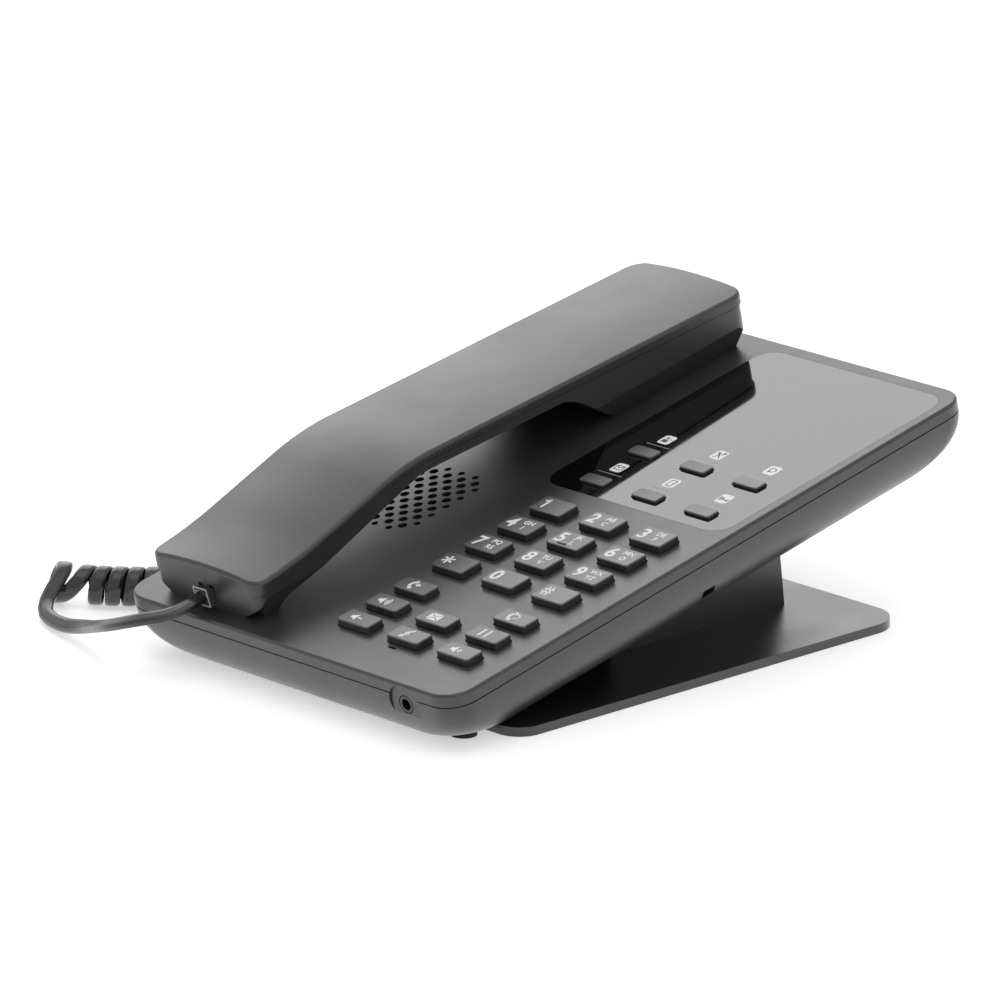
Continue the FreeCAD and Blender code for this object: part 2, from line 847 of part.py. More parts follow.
def column_outline(thickness):
    """Side outline of the column, or of the hollow inside its walls."""
    lean = math.tan(math.radians(column_lean))
    low = 0 if thickness else stand_thickness
    drop = thickness / math.cos(tilt)
    front = column_front + thickness
    rear_foot = column_rear - thickness + (stand_thickness - low) * lean
    rise = underside_height(rear_foot) - drop - low
    rear_top_height = rise / (1 + lean * math.tan(tilt))
    rear_top = rear_foot - rear_top_height * lean
    front_top_height = underside_height(front) - drop
    points = [(front, low), (rear_foot, low), (rear_top, low + rear_top_height), (front, front_top_height)]
    return [(y - depth_middle, z) for y, z in points]


def make_feet():
    """Two rubber feet under the front edge."""
    slab = block(-half_width, half_width, -far, body_length, -under_depth, far)
    slab.Placement = ON_DESK.multiply(slab.Placement)
    feet = []
    for side in (-1, 1):
        foot = post(foot_radius, side * foot_x, foot_y - depth_middle, 0, far / 4)
        feet.append(foot.cut(slab))
    export("rubber_feet", Part.Compound(feet))


# Handset

def handset_path(drop, with_knee):
    """Side line of the handset's top edge, or of its parting line without the knee, lowered by a drop."""
    start_v = handset_front - overrun
    knee = Vec(handset_u, handset_knee_v, handset_knee_top - drop)
    bend = Vec(handset_u, handset_bend_v, handset_bend_top - drop)
    rear_run = handset_rear + overrun - handset_bend_v
    end = bend + Vec(0, rear_run, rear_run * (rear_slope if with_knee else parting_slope))
    if with_knee:
        start = Vec(handset_u, start_v, handset_front_top - front_slope * overrun - drop)
        points = [start, knee, bend, end]
        radii = [handset_knee_radius, handset_bend_radius]
        slope = front_slope
    else:
        start = knee - Vec(0, handset_knee_v - start_v, ramp_slope * (handset_knee_v - start_v))
        points = [start, bend, end]
        radii = [handset_bend_radius]
        slope = ramp_slope
    path, used = rounded_path(points, radii)
    return path, start, math.degrees(math.atan(slope))


def swept(section, drop, with_knee):
    """Solid swept along the handset's side line from a section of (across, up) edges."""
    path, start, angle = handset_path(drop, with_knee)
    wire = section.copy()
    wire.translate(start)
    wire.rotate(start, ACROSS, angle)
    return path.makePipeShell([wire], True, False)


def section_polygon(points):
    """Closed section of (across, up) points."""
    corners = [Vec(a, 0, b) for a, b in points]
    return Part.makePolygon(corners + corners[:1])


def crown_section():
    """Section whose top is a shallow arc and whose sides run well below it."""
    half = handset_half + 2 * shell_step
    radius = (handset_half ** 2 + handset_crown ** 2) / (2 * handset_crown)
    side = handset_crown - radius + math.sqrt(radius ** 2 - half ** 2)
    low = -far / 2
    edges = [
        Part.Arc(Vec(half, 0, side), Vec(0, 0, handset_crown), Vec(-half, 0, side)).toShape(),
        Part.LineSegment(Vec(-half, 0, side), Vec(-half, 0, low)).toShape(),
        Part.LineSegment(Vec(-half, 0, low), Vec(half, 0, low)).toShape(),
        Part.LineSegment(Vec(half, 0, low), Vec(half, 0, side)).toShape(),
    ]
    return Part.Wire(edges)


def half_space(drop, way):
    """Space above (way 1) or below (way -1) the handset's parting line, moved down by a drop."""
    half = handset_width
    reach = way * far / 2
    section = section_polygon([(-half, 0), (half, 0), (half, reach), (-half, reach)])
    return swept(section, lid_edge + drop, False)


def handset_plan(inset):
    """Upright prism with the handset's outline."""
    return rounded_block(handset_u - handset_half + inset, handset_u + handset_half - inset,
                         handset_front + inset, handset_rear - inset,
                         handset_front_corner - inset, handset_rear_corner - inset, -far / 2, far)


def parting_height(v):
    """Height of the parting line on its straight stretches."""
    if v < handset_bend_v:
        return handset_bend_top - lid_edge - ramp_slope * (handset_bend_v - v)
    return handset_bend_top - lid_edge + parting_slope * (v - handset_bend_v)


def in_pocket(shape):
    """Place a shape drawn along +v from the handset jack's face."""
    return shape.rotated(Vec(0, 0, 0), ACROSS, pocket_tilt).translated(Vec(handset_u, pocket_v, pocket_w))


pocket_half = plug_width / 2 + seat_gap + jack_wall
pocket_rise = plug_height / 2 + seat_gap + jack_wall / 2
pocket_start = 1.6
handset_screw_rows = (handset_screw_front, ear_start_v - handset_screw_rear_gap)
handset_screw_places = [(side * handset_screw_u, v) for v in handset_screw_rows for side in (-1, 1)]
handset_screw_grip = 2.0


def jack_pocket(gap):
    """Space for the jack in the mouth end."""
    reach = pocket_start + jack_depth + jack_wall + gap
    half = pocket_half + gap
    rise = pocket_rise + gap
    return in_pocket(block(-half, half, pocket_start - gap, reach, -rise, rise))


def on_mouth_floor(shape):
    """Place a shape drawn upwards from the seat of the handset's microphone."""
    run = mouth_microphone_v - mouth_step_v
    seat = Vec(handset_u, mouth_microphone_v, mouth_step + run * mouth_slope + mouth_floor)
    return shape.rotated(Vec(0, 0, 0), ACROSS, math.degrees(math.atan(mouth_slope))).translated(seat)


def make_handset_lid():
    """Upper shell of the handset, with a crowned top."""
    lid = swept(crown_section(), 0, True).common(handset_plan(0))
    within = handset_plan(shell_step)
    rim_edges = []
    for edge in lid.Edges:
        middle = edge.valueAt((edge.FirstParameter + edge.LastParameter) / 2)
        if middle.z > parting_height(middle.y) and not within.isInside(middle, slip, True):
            rim_edges.append(edge)
    lid = lid.makeFillet(lid_edge_round, rim_edges).cut(half_space(0, -1))
    cuts = [jack_pocket(seat_gap), in_pocket(socket_space(slip))]
    for du, v in handset_screw_places:
        hole_top = parting_height(v) + handset_screw_grip + seat_gap
        cuts.append(post(screw_hole_radius, handset_u + du, v, -far, hole_top))
    export_on_face("handset_lid", lid.cut(cuts))


def handset_under():
    """Underside of the handset: handle, mouth end and earpiece end, before hollowing."""
    side = handset_half - shell_step
    belly = belly_half_width
    handle_section = section_polygon([(-side, far / 4), (side, far / 4), (side, -handle_side),
                                      (belly, -handle_belly), (-belly, -handle_belly), (-side, -handle_side)])
    handle = swept(handle_section, lid_edge, False)
    u0 = handset_u - side
    u1 = handset_u + side
    mouth_foot_v = handset_front + mouth_lean
    mouth = profile_block([(mouth_foot_v, 0), (mouth_heel_v, 0), (mouth_step_v, mouth_step),
                           (handle_front_v, handle_front), (handle_join_v, handle_join),
                           (handle_join_v, far / 2), (handset_front, far / 2),
                           (handset_front + mouth_brow_lean, mouth_brow)], u0, u1)
    chin = block(handset_u - chin_half_width, handset_u + chin_half_width,
                 mouth_foot_v, chin_rear, 0, chin_top)
    ear_begin = Vec(u0, ear_start_v, ear_start)
    ear_end = Vec(u0, handset_rear - ear_lean, 0)
    ear_line = [ear_begin, Vec(u0, ear_shoulder_v, ear_shoulder), Vec(u0, ear_toe_v, 0), ear_end]
    ear_wire, radii = rounded_path(ear_line, [ear_shoulder_radius, ear_toe_radius])
    ear_back = [ear_end, Vec(u0, handset_rear - ear_brow_lean, ear_brow), Vec(u0, handset_rear, far / 2)]
    ear_back += [Vec(u0, ear_start_v, far / 2), ear_begin]
    outline = Part.Wire(ear_wire.Edges + Part.makePolygon(ear_back).Edges)
    ear = Part.Face(outline).extrude(ACROSS * (u1 - u0))
    under = joined([handle, mouth, chin, ear])
    foot = side - side_taper
    taper = [(-side, far), (-side, side_taper_height), (-foot, 0),
             (foot, 0), (side, side_taper_height), (side, far)]
    corners = [Vec(handset_u + a, -far, b) for a, b in taper]
    prism = Part.Face(Part.makePolygon(corners + corners[:1])).extrude(ALONG * (body_length + 2 * far))
    return under.common(handset_plan(shell_step)).common(prism)


def make_handset_shell():
    """Lower shell of the handset with its earpiece, pockets and wire channel."""
    under = handset_under()
    body = under.cut(half_space(seam, 1))
    rim = under.common(handset_plan(shell_step + rim_inset))
    rim = rim.cut([half_space(seat_gap / 4, 1), half_space(seam, -1)])
    boss = post(ear_boss_radius, handset_u, ear_v, -ear_boss_height, ear_floor_thickness)
    shell = joined([body, rim, boss])
    cuts = [post(ear_boss_radius - ear_wall, handset_u, ear_v, ear_floor, far)]
    for ring in range(3):
        reach = ring * sound_ring_step
        for i in range(ring * sound_ring_holes or 1):
            angle = 2 * math.pi * i / (ring * sound_ring_holes or 1)
            u = handset_u + reach * math.cos(angle)
            cuts.append(post(sound_hole_radius, u, ear_v + reach * math.sin(angle), -far, far))
    cuts.append(jack_pocket(seat_gap))
    cuts.append(in_pocket(socket_space(slip)))
    cuts.append(on_mouth_floor(post(microphone_radius + slip, 0, 0, 0, far / 4)))
    cuts.append(on_mouth_floor(post(mouth_port_radius, 0, 0, -far / 4, 0)))
    half = channel_half_width
    deep = -channel_depth
    section = section_polygon([(-half, far / 4), (half, far / 4), (half, deep), (-half, deep)])
    reach = block(handset_u - handset_half, handset_u + handset_half, channel_start_v, ear_v, -far, far)
    cuts.append(swept(section, lid_edge, False).common(reach))
    for du, v in handset_screw_places:
        u = handset_u + du
        low = parting_height(v) - handle_belly
        cuts.append(post(screw_hole_radius, u, v, -far, far))
        cuts.append(post(screw_head_radius + slip, u, v, -far, low + counterbore))
    export_on_face("handset_shell", shell.cut(cuts))


def make_handset_inside():
    """Receiver, microphone, jack, plug and screws of the handset."""
    capsule_top = ear_floor + receiver_height
    capsule = post(ear_boss_radius - ear_wall - slip, handset_u, ear_v, ear_floor, capsule_top)
    magnet = post(receiver_magnet_radius, handset_u, ear_v, capsule_top, capsule_top + receiver_magnet_height)
    export_on_face("handset_receiver", joined([capsule, magnet]))
    reach = pocket_start + jack_depth + jack_wall
    housing = block(-pocket_half, pocket_half, pocket_start, reach, -pocket_rise, pocket_rise)
    export_on_face("handset_jack", in_pocket(housing.cut(socket_space(seat_gap))))
    capsule = post(microphone_radius, 0, 0, 0, microphone_height)
    export_on_face("handset_microphone", on_mouth_floor(capsule))
    body = plug(plug_length).translated(Vec(0, plug_grip - plug_length, 0))
    export_on_face("handset_plug", in_pocket(body))
    screws = []
    for du, v in handset_screw_places:
        low = parting_height(v) - handle_belly + counterbore - screw_head_height
        screws.append(screw(handset_u + du, v, low, parting_height(v) + handset_screw_grip))
    export_on_face("handset_screws", Part.Compound(screws))


# Cord

def coil_axis():
    """Line on the desk that the coil lies along, as a function of the length from its start."""
    heading = math.radians(coil_heading)
    start = desk_point(coil_start_x, coil_start_y, coil_height)
    first = start + Vec(math.cos(heading), math.sin(heading), 0) * coil_first_run
    turn = math.pi / 2 - heading
    bend_length = coil_bend_radius * turn
    centre = first + Vec(-math.sin(heading), math.cos(heading), 0) * coil_bend_radius

    def at(length):
        if length < coil_first_run:
            way = Vec(math.cos(heading), math.sin(heading), 0)
            return start + way * length, way
        arc = length - coil_first_run
        angle = heading + min(arc / coil_bend_radius, turn)
        way = Vec(math.cos(angle), math.sin(angle), 0)
        point = centre + Vec(math.sin(angle), -math.cos(angle), 0) * coil_bend_radius
        return point + way * max(0, arc - bend_length), way
    return at


def coil_point(at, angle):
    """Centre of the coiled wire after a turning angle in degrees, measured from underneath."""
    turns = (angle - coil_start_angle) / 360
    loose = math.sin(math.pi * turns) ** 2 if 0 < turns < 1 else 0
    first = min(turns, 1) * first_turn_extra - loose * first_turn_skew
    centre, way = at(turns * coil_pitch + first)
    radius = coil_radius + loose * first_turn_grow
    side = Vec(way.y, -way.x, 0)
    turn = math.radians(angle)
    lift = loose * first_turn_grow - math.cos(turn) * radius
    return centre + OUT * lift + side * (math.sin(turn) * radius)


def coil_way(at, angle):
    """Direction of the coiled wire at a turning angle."""
    step = 0.05
    way = coil_point(at, angle + step) - coil_point(at, angle - step)
    return way * (1 / way.Length)


def biarc(p0, t0, p1, t1):
    """Two tangent arcs between two points with given directions, and their smaller radius."""
    gap = p1 - p0
    both = t0 + t1
    share = 2 * (1 - t0.dot(t1))
    reach = (math.sqrt(gap.dot(both) ** 2 + share * gap.dot(gap)) - gap.dot(both)) / share
    q0 = p0 + t0 * reach
    q1 = p1 - t1 * reach
    joint = (q0 + q1) * 0.5
    edges = []
    radii = []
    for a, q, b in ((p0, q0, joint), (joint, q1, p1)):
        chord = (b - a).Length / 2
        weight = chord / reach
        middle = ((a + b) * 0.5 + q * weight) * (1 / (1 + weight))
        edges.append(Part.Arc(a, middle, b).toShape())
        radii.append(chord / math.sqrt(1 - weight ** 2))
    return edges, min(radii)


def least_gap(points, step_count):
    """Smallest clear space between the coiled wire and itself, one turn or more away."""
    least = far
    for i in range(len(points)):
        for j in range(i + step_count * 3 // 4, min(len(points), i + step_count * 5 // 4 + 1)):
            least = min(least, (points[i] - points[j]).Length)
    return least - 2 * wire_radius


def tube(wire, start, way):
    """Round cord along a wire."""
    ring = Part.Wire([Part.Circle(start, way, wire_radius).toShape()])
    return wire.makePipeShell([ring], True, False)


def print_volume(name, cord, path):
    """Report a cord's length, and its volume over its section times its length."""
    expected = math.pi * wire_radius ** 2 * path.Length
    print(name, "length %.1f, volume ratio %.4f" % (path.Length, cord.Volume / expected))


def make_coil(at, last_angle):
    """Curly part of the cord, one unbroken wire."""
    step = 90
    angles = list(range(int(coil_start_angle), int(last_angle), step)) + [last_angle]
    edges = []
    tightest = far
    for a, b in zip(angles, angles[1:]):
        arcs, radius = biarc(coil_point(at, a), coil_way(at, a), coil_point(at, b), coil_way(at, b))
        edges += arcs
        tightest = min(tightest, radius)
    start = coil_point(at, coil_start_angle)
    way = coil_way(at, coil_start_angle)
    lead_in = Part.LineSegment(start - way * (2 * wire_radius), start).toShape()
    end = coil_point(at, last_angle)
    end_way = coil_way(at, last_angle)
    lead_out = Part.LineSegment(end, end + end_way * (2 * wire_radius)).toShape()
    path = Part.Wire([lead_in] + edges + [lead_out])
    coil = tube(path, start - way * (2 * wire_radius), way)
    fine = 15
    samples = [coil_point(at, a) for a in range(int(coil_start_angle), int(last_angle) + 1, fine)]
    print("coil: least gap %.2f, tightest arc %.2f" % (least_gap(samples, 360 // fine), tightest))
    print_volume("coil", coil, path)
    export("curly_cord", coil)
    return start - way * (2 * wire_radius), way, end + end_way * (2 * wire_radius), end_way


def make_lead(name, points):
    """Straight end of the cord between the coil and a plug."""
    path, radii = rounded_path(points)
    way = points[1] - points[0]
    lead = tube(path, points[0], way)
    print(name, "radii", ["%.1f" % r for r in radii])
    print_volume(name, lead, path)
    export(name, lead)


def on_desk(point):
    """Point on the face, moved to the desk."""
    return ON_DESK.multVec(point)


def make_cord():
    """Coil with a lead to the handset's plug and a lead to the base's plug."""
    at = coil_axis()
    last_angle = coil_end_angle + 360 * coil_turns
    coil_start, start_way, coil_end, end_way = make_coil(at, last_angle)
    angle = math.radians(pocket_tilt)
    pocket = Vec(handset_u, pocket_v, pocket_w)
    out_of_pocket = Vec(0, -math.cos(angle), -math.sin(angle))
    plug_back = plug_length - plug_grip
    plug_end = on_desk(pocket + out_of_pocket * plug_back)
    first_bend = on_desk(pocket + out_of_pocket * (plug_back + lead_end_run))
    route = [plug_end, first_bend]
    route += [desk_point(x, y, z) for x, y, z in lead_points]
    route += [coil_start - start_way * coil_lead_run, coil_start]
    make_lead("handset_lead", route)
    w = -(board_under_depth + jack_wall + seat_gap + plug_height / 2)
    base_end = on_desk(Vec(-base_jack_face - plug_back, base_jack_v, w))
    route = [coil_end, coil_end + end_way * jack_lead_run]
    route += [desk_point(x, y, z) for x, y, z in base_lead_points]
    route += [base_end - ACROSS * jack_lead_run, base_end]
    make_lead("base_lead", route)


os.makedirs("parts", exist_ok=True)
make_upper_case()
make_faceplate()
make_lower_case()
make_keys()
make_board()
make_mat("keypad_mat", digit_places + function_places, key_width, function_length)
make_mat("button_mat", button_places, button_width, button_length)
make_speaker()
make_base_microphone()
make_headset_jack()
make_network_jack()
make_base_jack()
make_hook()
make_screws()
make_stand()
make_feet()
make_handset_lid()
make_handset_shell()
make_handset_inside()
make_cord()
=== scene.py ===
import logging
import math
from dataclasses import dataclass
from enum import Enum
from typing import Sequence

import bmesh
import bpy
from mathutils import Matrix, Vector


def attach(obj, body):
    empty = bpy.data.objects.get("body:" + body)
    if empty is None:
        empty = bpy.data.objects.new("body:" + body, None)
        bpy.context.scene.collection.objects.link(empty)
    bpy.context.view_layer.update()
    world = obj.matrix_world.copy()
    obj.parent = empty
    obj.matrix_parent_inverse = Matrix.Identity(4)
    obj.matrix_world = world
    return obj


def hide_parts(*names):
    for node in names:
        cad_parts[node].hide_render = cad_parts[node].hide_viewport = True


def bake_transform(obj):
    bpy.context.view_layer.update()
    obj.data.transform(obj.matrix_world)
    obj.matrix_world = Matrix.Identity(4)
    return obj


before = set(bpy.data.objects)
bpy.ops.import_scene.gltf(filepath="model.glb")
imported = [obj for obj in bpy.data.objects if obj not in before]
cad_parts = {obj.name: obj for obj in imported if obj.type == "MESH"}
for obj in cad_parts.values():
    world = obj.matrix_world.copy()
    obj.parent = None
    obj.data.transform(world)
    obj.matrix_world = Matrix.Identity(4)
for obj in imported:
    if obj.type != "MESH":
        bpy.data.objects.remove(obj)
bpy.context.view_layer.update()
log = logging.getLogger("telephone")
MM = 0.001
Colour = tuple[float, float, float]
Point = tuple[float, float]
Spot = tuple[float, float, float]
Socket = bpy.types.NodeSocket
Input = float | Sequence[float] | Socket
Verts = list[bmesh.types.BMVert]


# The sloping face, on which most pieces are drawn

@dataclass(frozen=True)
class Face:
    """Face of the body: u across it, v from its front edge to the rear, w out of it, in millimetres."""

    tilt: float = 13.13
    front_height: float = 18.0
    front_edge: float = -105.8946
    crown_depth: float = 0.05

    def base(self) -> Matrix:
        """Matrix from millimetres on the face to metres in the frame."""
        origin = Matrix.Translation((0.0, self.front_edge * MM, self.front_height * MM))
        return origin @ Matrix.Rotation(math.radians(self.tilt), 4, "X") @ Matrix.Scale(MM, 4)

    def place(self, u: float, v: float, w: float) -> Matrix:
        """Matrix that moves a shape drawn about zero to a spot on the face.

        Args:
            u: Place across the face.
            v: Place along the face.
            w: Height out of the face.

        Returns:
            The matrix from millimetres to the frame.
        """
        return self.base() @ Matrix.Translation((u, v, w))

    def top_of(self, node: str) -> Vector:
        """Middle of a node's top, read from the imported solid.

        Args:
            node: Name of a node that lies on the face.

        Returns:
            The point as u, v and w.
        """
        back = self.base().inverted()
        points = [back @ vert.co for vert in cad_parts[node].data.vertices]
        high = max(p.z for p in points)
        crown = [p for p in points if p.z > high - self.crown_depth]
        across = [p.x for p in crown]
        along = [p.y for p in crown]
        return Vector(((min(across) + max(across)) / 2, (min(along) + max(along)) / 2, high))


FACE = Face()


# Shader nodes

class Graph:
    """Adds and joins the nodes of one shader tree."""

    def __init__(self, tree: bpy.types.NodeTree) -> None:
        """Keep the tree that nodes are added to."""
        self.tree = tree

    def add(self, kind: str, settings: dict | None = None, **inputs: Input) -> bpy.types.Node:
        """Add a node with its settings and its inputs.

        Args:
            kind: Node type's name.
            settings: Properties of the node.
            **inputs: Values or sockets by input name, with underscores for spaces.

        Returns:
            The new node.
        """
        node = self.tree.nodes.new(kind)
        for key, value in (settings or {}).items():
            setattr(node, key, value)
        for key, value in inputs.items():
            self.feed(node, key.replace("_", " "), value)
        return node

    def feed(self, node: bpy.types.Node, name: str, value: Input) -> None:
        """Set an input to a value, or join it to a socket.

        Args:
            node: Node with the input.
            name: Name of the input.
            value: Number, colour or output socket.
        """
        socket = next(s for s in node.inputs if s.name == name and s.enabled)
        if isinstance(value, Socket):
            self.tree.links.new(value, socket)
        else:
            socket.default_value = value

    def mix(self, share: Socket, low: Colour | Socket, high: Colour) -> Socket:
        """Colour between two colours.

        Args:
            share: Socket that goes from 0 to 1.
            low: Colour at 0, or a socket that gives it.
            high: Colour at 1.

        Returns:
            The colour socket.
        """
        first = low if isinstance(low, Socket) else (*low, 1.0)
        node = self.add("ShaderNodeMix", {"data_type": "RGBA"}, Factor=share, A=first, B=(*high, 1.0))
        return next(s for s in node.outputs if s.name == "Result" and s.enabled)

    def span(self, value: Socket, low: float, high: float) -> Socket:
        """Value from 0 to 1 stretched between two limits.

        Args:
            value: Socket that goes from 0 to 1.
            low: Result at 0.
            high: Result at 1.

        Returns:
            The value socket.
        """
        return self.add("ShaderNodeMapRange", None, Value=value, To_Min=low, To_Max=high).outputs["Result"]

    def bump(self, shader: bpy.types.Node, height: Socket, strength: float, depth: float) -> None:
        """Roughen a surface by a height pattern.

        Args:
            shader: Surface shader.
            height: Socket of the pattern.
            strength: How strongly it shows.
            depth: Depth of the pattern in metres.
        """
        node = self.add("ShaderNodeBump", None, Strength=strength, Distance=depth, Height=height)
        self.feed(shader, "Normal", node.outputs["Normal"])


def effect_group(
    name: str, inputs: Sequence[str], outputs: Sequence[str]
) -> tuple[bpy.types.NodeTree, Graph]:
    """Start a node group that several materials share.

    Args:
        name: Name of the group.
        inputs: Names of its number inputs.
        outputs: Names of its number outputs.

    Returns:
        The group's tree and a graph to fill it.
    """
    tree = bpy.data.node_groups.new(name, "ShaderNodeTree")
    for label in inputs:
        tree.interface.new_socket(label, in_out="INPUT", socket_type="NodeSocketFloat")
    for label in outputs:
        tree.interface.new_socket(label, in_out="OUTPUT", socket_type="NodeSocketFloat")
    return tree, Graph(tree)


def make_moulded_grain() -> bpy.types.NodeTree:
    """Build the fine grain of a textured mould, with slow changes of tone over the surface."""
    tree, graph = effect_group("moulded_grain", ("Grain Scale", "Tone Scale"), ("Height", "Tone"))
    entry = graph.add("NodeGroupInput")
    leave = graph.add("NodeGroupOutput")
    where = graph.add("ShaderNodeTexCoord").outputs["Object"]
    fine = graph.add("ShaderNodeTexNoise", None, Vector=where, Scale=entry.outputs["Grain Scale"],
                     Detail=3.0, Roughness=0.55)
    slow = graph.add("ShaderNodeTexNoise", None, Vector=where, Scale=entry.outputs["Tone Scale"],
                     Detail=4.0, Roughness=0.6)
    tone = graph.add("ShaderNodeMapRange", None, Value=slow.outputs["Fac"], From_Min=0.3, From_Max=0.7)
    graph.feed(leave, "Height", fine.outputs["Fac"])
    graph.feed(leave, "Tone", tone.outputs["Result"])
    return tree


def make_dust() -> bpy.types.NodeTree:
    """Build a mask of faint dust that settles on faces that look up."""
    tree, graph = effect_group("settled_dust", ("Speck Scale",), ("Mask",))
    entry = graph.add("NodeGroupInput")
    leave = graph.add("NodeGroupOutput")
    where = graph.add("ShaderNodeTexCoord")
    specks = graph.add("ShaderNodeTexNoise", None, Vector=where.outputs["Object"],
                       Scale=entry.outputs["Speck Scale"], Detail=5.0, Roughness=0.7)
    sparse = graph.add("ShaderNodeMapRange", None, Value=specks.outputs["Fac"], From_Min=0.56, From_Max=0.78)
    upward = graph.add("ShaderNodeSeparateXYZ", None, Vector=where.outputs["Normal"])
    facing = graph.add("ShaderNodeMapRange", None, Value=upward.outputs["Z"], From_Min=0.3, From_Max=1.0)
    both = graph.add("ShaderNodeMath", {"operation": "MULTIPLY"})
    graph.tree.links.new(sparse.outputs["Result"], both.inputs[0])
    graph.tree.links.new(facing.outputs["Result"], both.inputs[1])
    graph.feed(leave, "Mask", both.outputs["Value"])
    return tree


class Effect(Enum):
    """Shared effects, by the name of their node group."""

    GRAIN = "moulded_grain"
    DUST = "settled_dust"

    def tree(self) -> bpy.types.NodeTree:
        """Node group of the effect, built when it is first asked for."""
        found = bpy.data.node_groups.get(self.value)
        if found:
            return found
        return make_moulded_grain() if self is Effect.GRAIN else make_dust()


def new_shader(name: str) -> tuple[bpy.types.Material, Graph, bpy.types.Node]:
    """Start a material with one surface shader.

    Args:
        name: Name of the material.

    Returns:
        The material, its graph and its surface shader.
    """
    material = bpy.data.materials.new(name)
    material.use_nodes = True
    graph = Graph(material.node_tree)
    return material, graph, material.node_tree.nodes["Principled BSDF"]


def add_effect(graph: Graph, effect: Effect, **inputs: float) -> bpy.types.Node:
    """Place a shared effect in a material.

    Args:
        graph: Graph of the material.
        effect: Effect to place.
        **inputs: Values of the group's inputs.

    Returns:
        The group node.
    """
    return graph.add("ShaderNodeGroup", {"node_tree": effect.tree()}, **inputs)


# Finishes

@dataclass(frozen=True)
class Finish:
    """Surface whose colour and roughness follow its grain. Scales are per metre, depths in metres."""

    name: str
    colour: Colour
    roughness: float = 0.4
    unevenness: float = 0.04
    uneven_after: str = "Tone"
    dark: float = 1.0
    light: float = 1.0
    tone_scale: float = 38.0
    grain_scale: float = 2000.0
    grain_depth: float = 0.0001
    grain_strength: float = 0.0
    dust: float = 0.0
    dust_scale: float = 420.0
    dust_colour: Colour = (0.45, 0.44, 0.43)

    def shade(self, factor: float) -> Colour:
        """Colour of the finish, made darker or lighter."""
        return tuple(c * factor for c in self.colour)

    def material(self) -> bpy.types.Material:
        """Material of the finish, made once."""
        known = bpy.data.materials.get(self.name)
        if known:
            return known
        material, graph, shader = new_shader(self.name)
        self.fill(graph, shader)
        return material

    def fill(self, graph: Graph, shader: bpy.types.Node) -> None:
        """Set up the tone, the dust, the roughness and the grain.

        Args:
            graph: Graph of the material.
            shader: Its surface shader.
        """
        grain = add_effect(graph, Effect.GRAIN, Grain_Scale=self.grain_scale, Tone_Scale=self.tone_scale)
        colour = graph.mix(grain.outputs["Tone"], self.shade(self.dark), self.shade(self.light))
        if self.dust:
            specks = add_effect(graph, Effect.DUST, Speck_Scale=self.dust_scale)
            share = graph.span(specks.outputs["Mask"], 0.0, self.dust)
            colour = graph.mix(share, colour, self.dust_colour)
        graph.feed(shader, "Base Color", colour)
        smooth, coarse = self.roughness - self.unevenness, self.roughness + self.unevenness
        graph.feed(shader, "Roughness", graph.span(grain.outputs[self.uneven_after], smooth, coarse))
        if self.grain_strength:
            graph.bump(shader, grain.outputs["Height"], self.grain_strength, self.grain_depth)


@dataclass(frozen=True)
class MouldedPlastic(Finish):
    """Plastic from a textured mould, with a trace of dust."""

    dark: float = 0.86
    light: float = 1.14
    grain_depth: float = 0.00005
    grain_strength: float = 0.35
    dust: float = 0.03
    specular: float = 0.5

    def fill(self, graph: Graph, shader: bpy.types.Node) -> None:
        """Set up the surface with its shine."""
        super().fill(graph, shader)
        graph.feed(shader, "Specular IOR Level", self.specular)


@dataclass(frozen=True)
class PolishedPlastic(Finish):
    """Polished plastic that mirrors its surroundings, with faint smears from fingers."""

    roughness: float = 0.048
    unevenness: float = 0.018
    tone_scale: float = 30.0
    grain_scale: float = 90.0
    dust: float = 1.0
    dust_scale: float = 900.0
    dust_colour: Colour = (0.016, 0.016, 0.0165)
    ior: float = 1.68

    def fill(self, graph: Graph, shader: bpy.types.Node) -> None:
        """Set up the surface with its mirror."""
        super().fill(graph, shader)
        graph.feed(shader, "IOR", self.ior)


@dataclass(frozen=True)
class PrintedInk(Finish):
    """Ink of a printed mark, slightly uneven."""

    roughness: float = 0.525
    unevenness: float = 0.075
    uneven_after: str = "Height"
    dark: float = 0.9
    tone_scale: float = 900.0
    grain_scale: float = 3000.0


@dataclass(frozen=True)
class ClearMoulding(Finish):
    """Clear plastic of a plug, with flow lines on it."""

    roughness: float = 0.04
    unevenness: float = 0.02
    dark: float = 0.86
    tone_scale: float = 260.0
    grain_scale: float = 700.0
    grain_strength: float = 0.05
    clearness: float = 0.95
    ior: float = 1.58

    def fill(self, graph: Graph, shader: bpy.types.Node) -> None:
        """Set up the surface and let light through it."""
        super().fill(graph, shader)
        graph.feed(shader, "Transmission Weight", self.clearness)
        graph.feed(shader, "IOR", self.ior)


@dataclass(frozen=True)
class BareMetal(Finish):
    """Bare metal, slightly uneven."""

    roughness: float = 0.3
    unevenness: float = 0.1
    uneven_after: str = "Height"
    dark: float = 0.8
    tone_scale: float = 220.0
    grain_scale: float = 1800.0

    def fill(self, graph: Graph, shader: bpy.types.Node) -> None:
        """Set up the surface as metal."""
        super().fill(graph, shader)
        graph.feed(shader, "Metallic", 1.0)


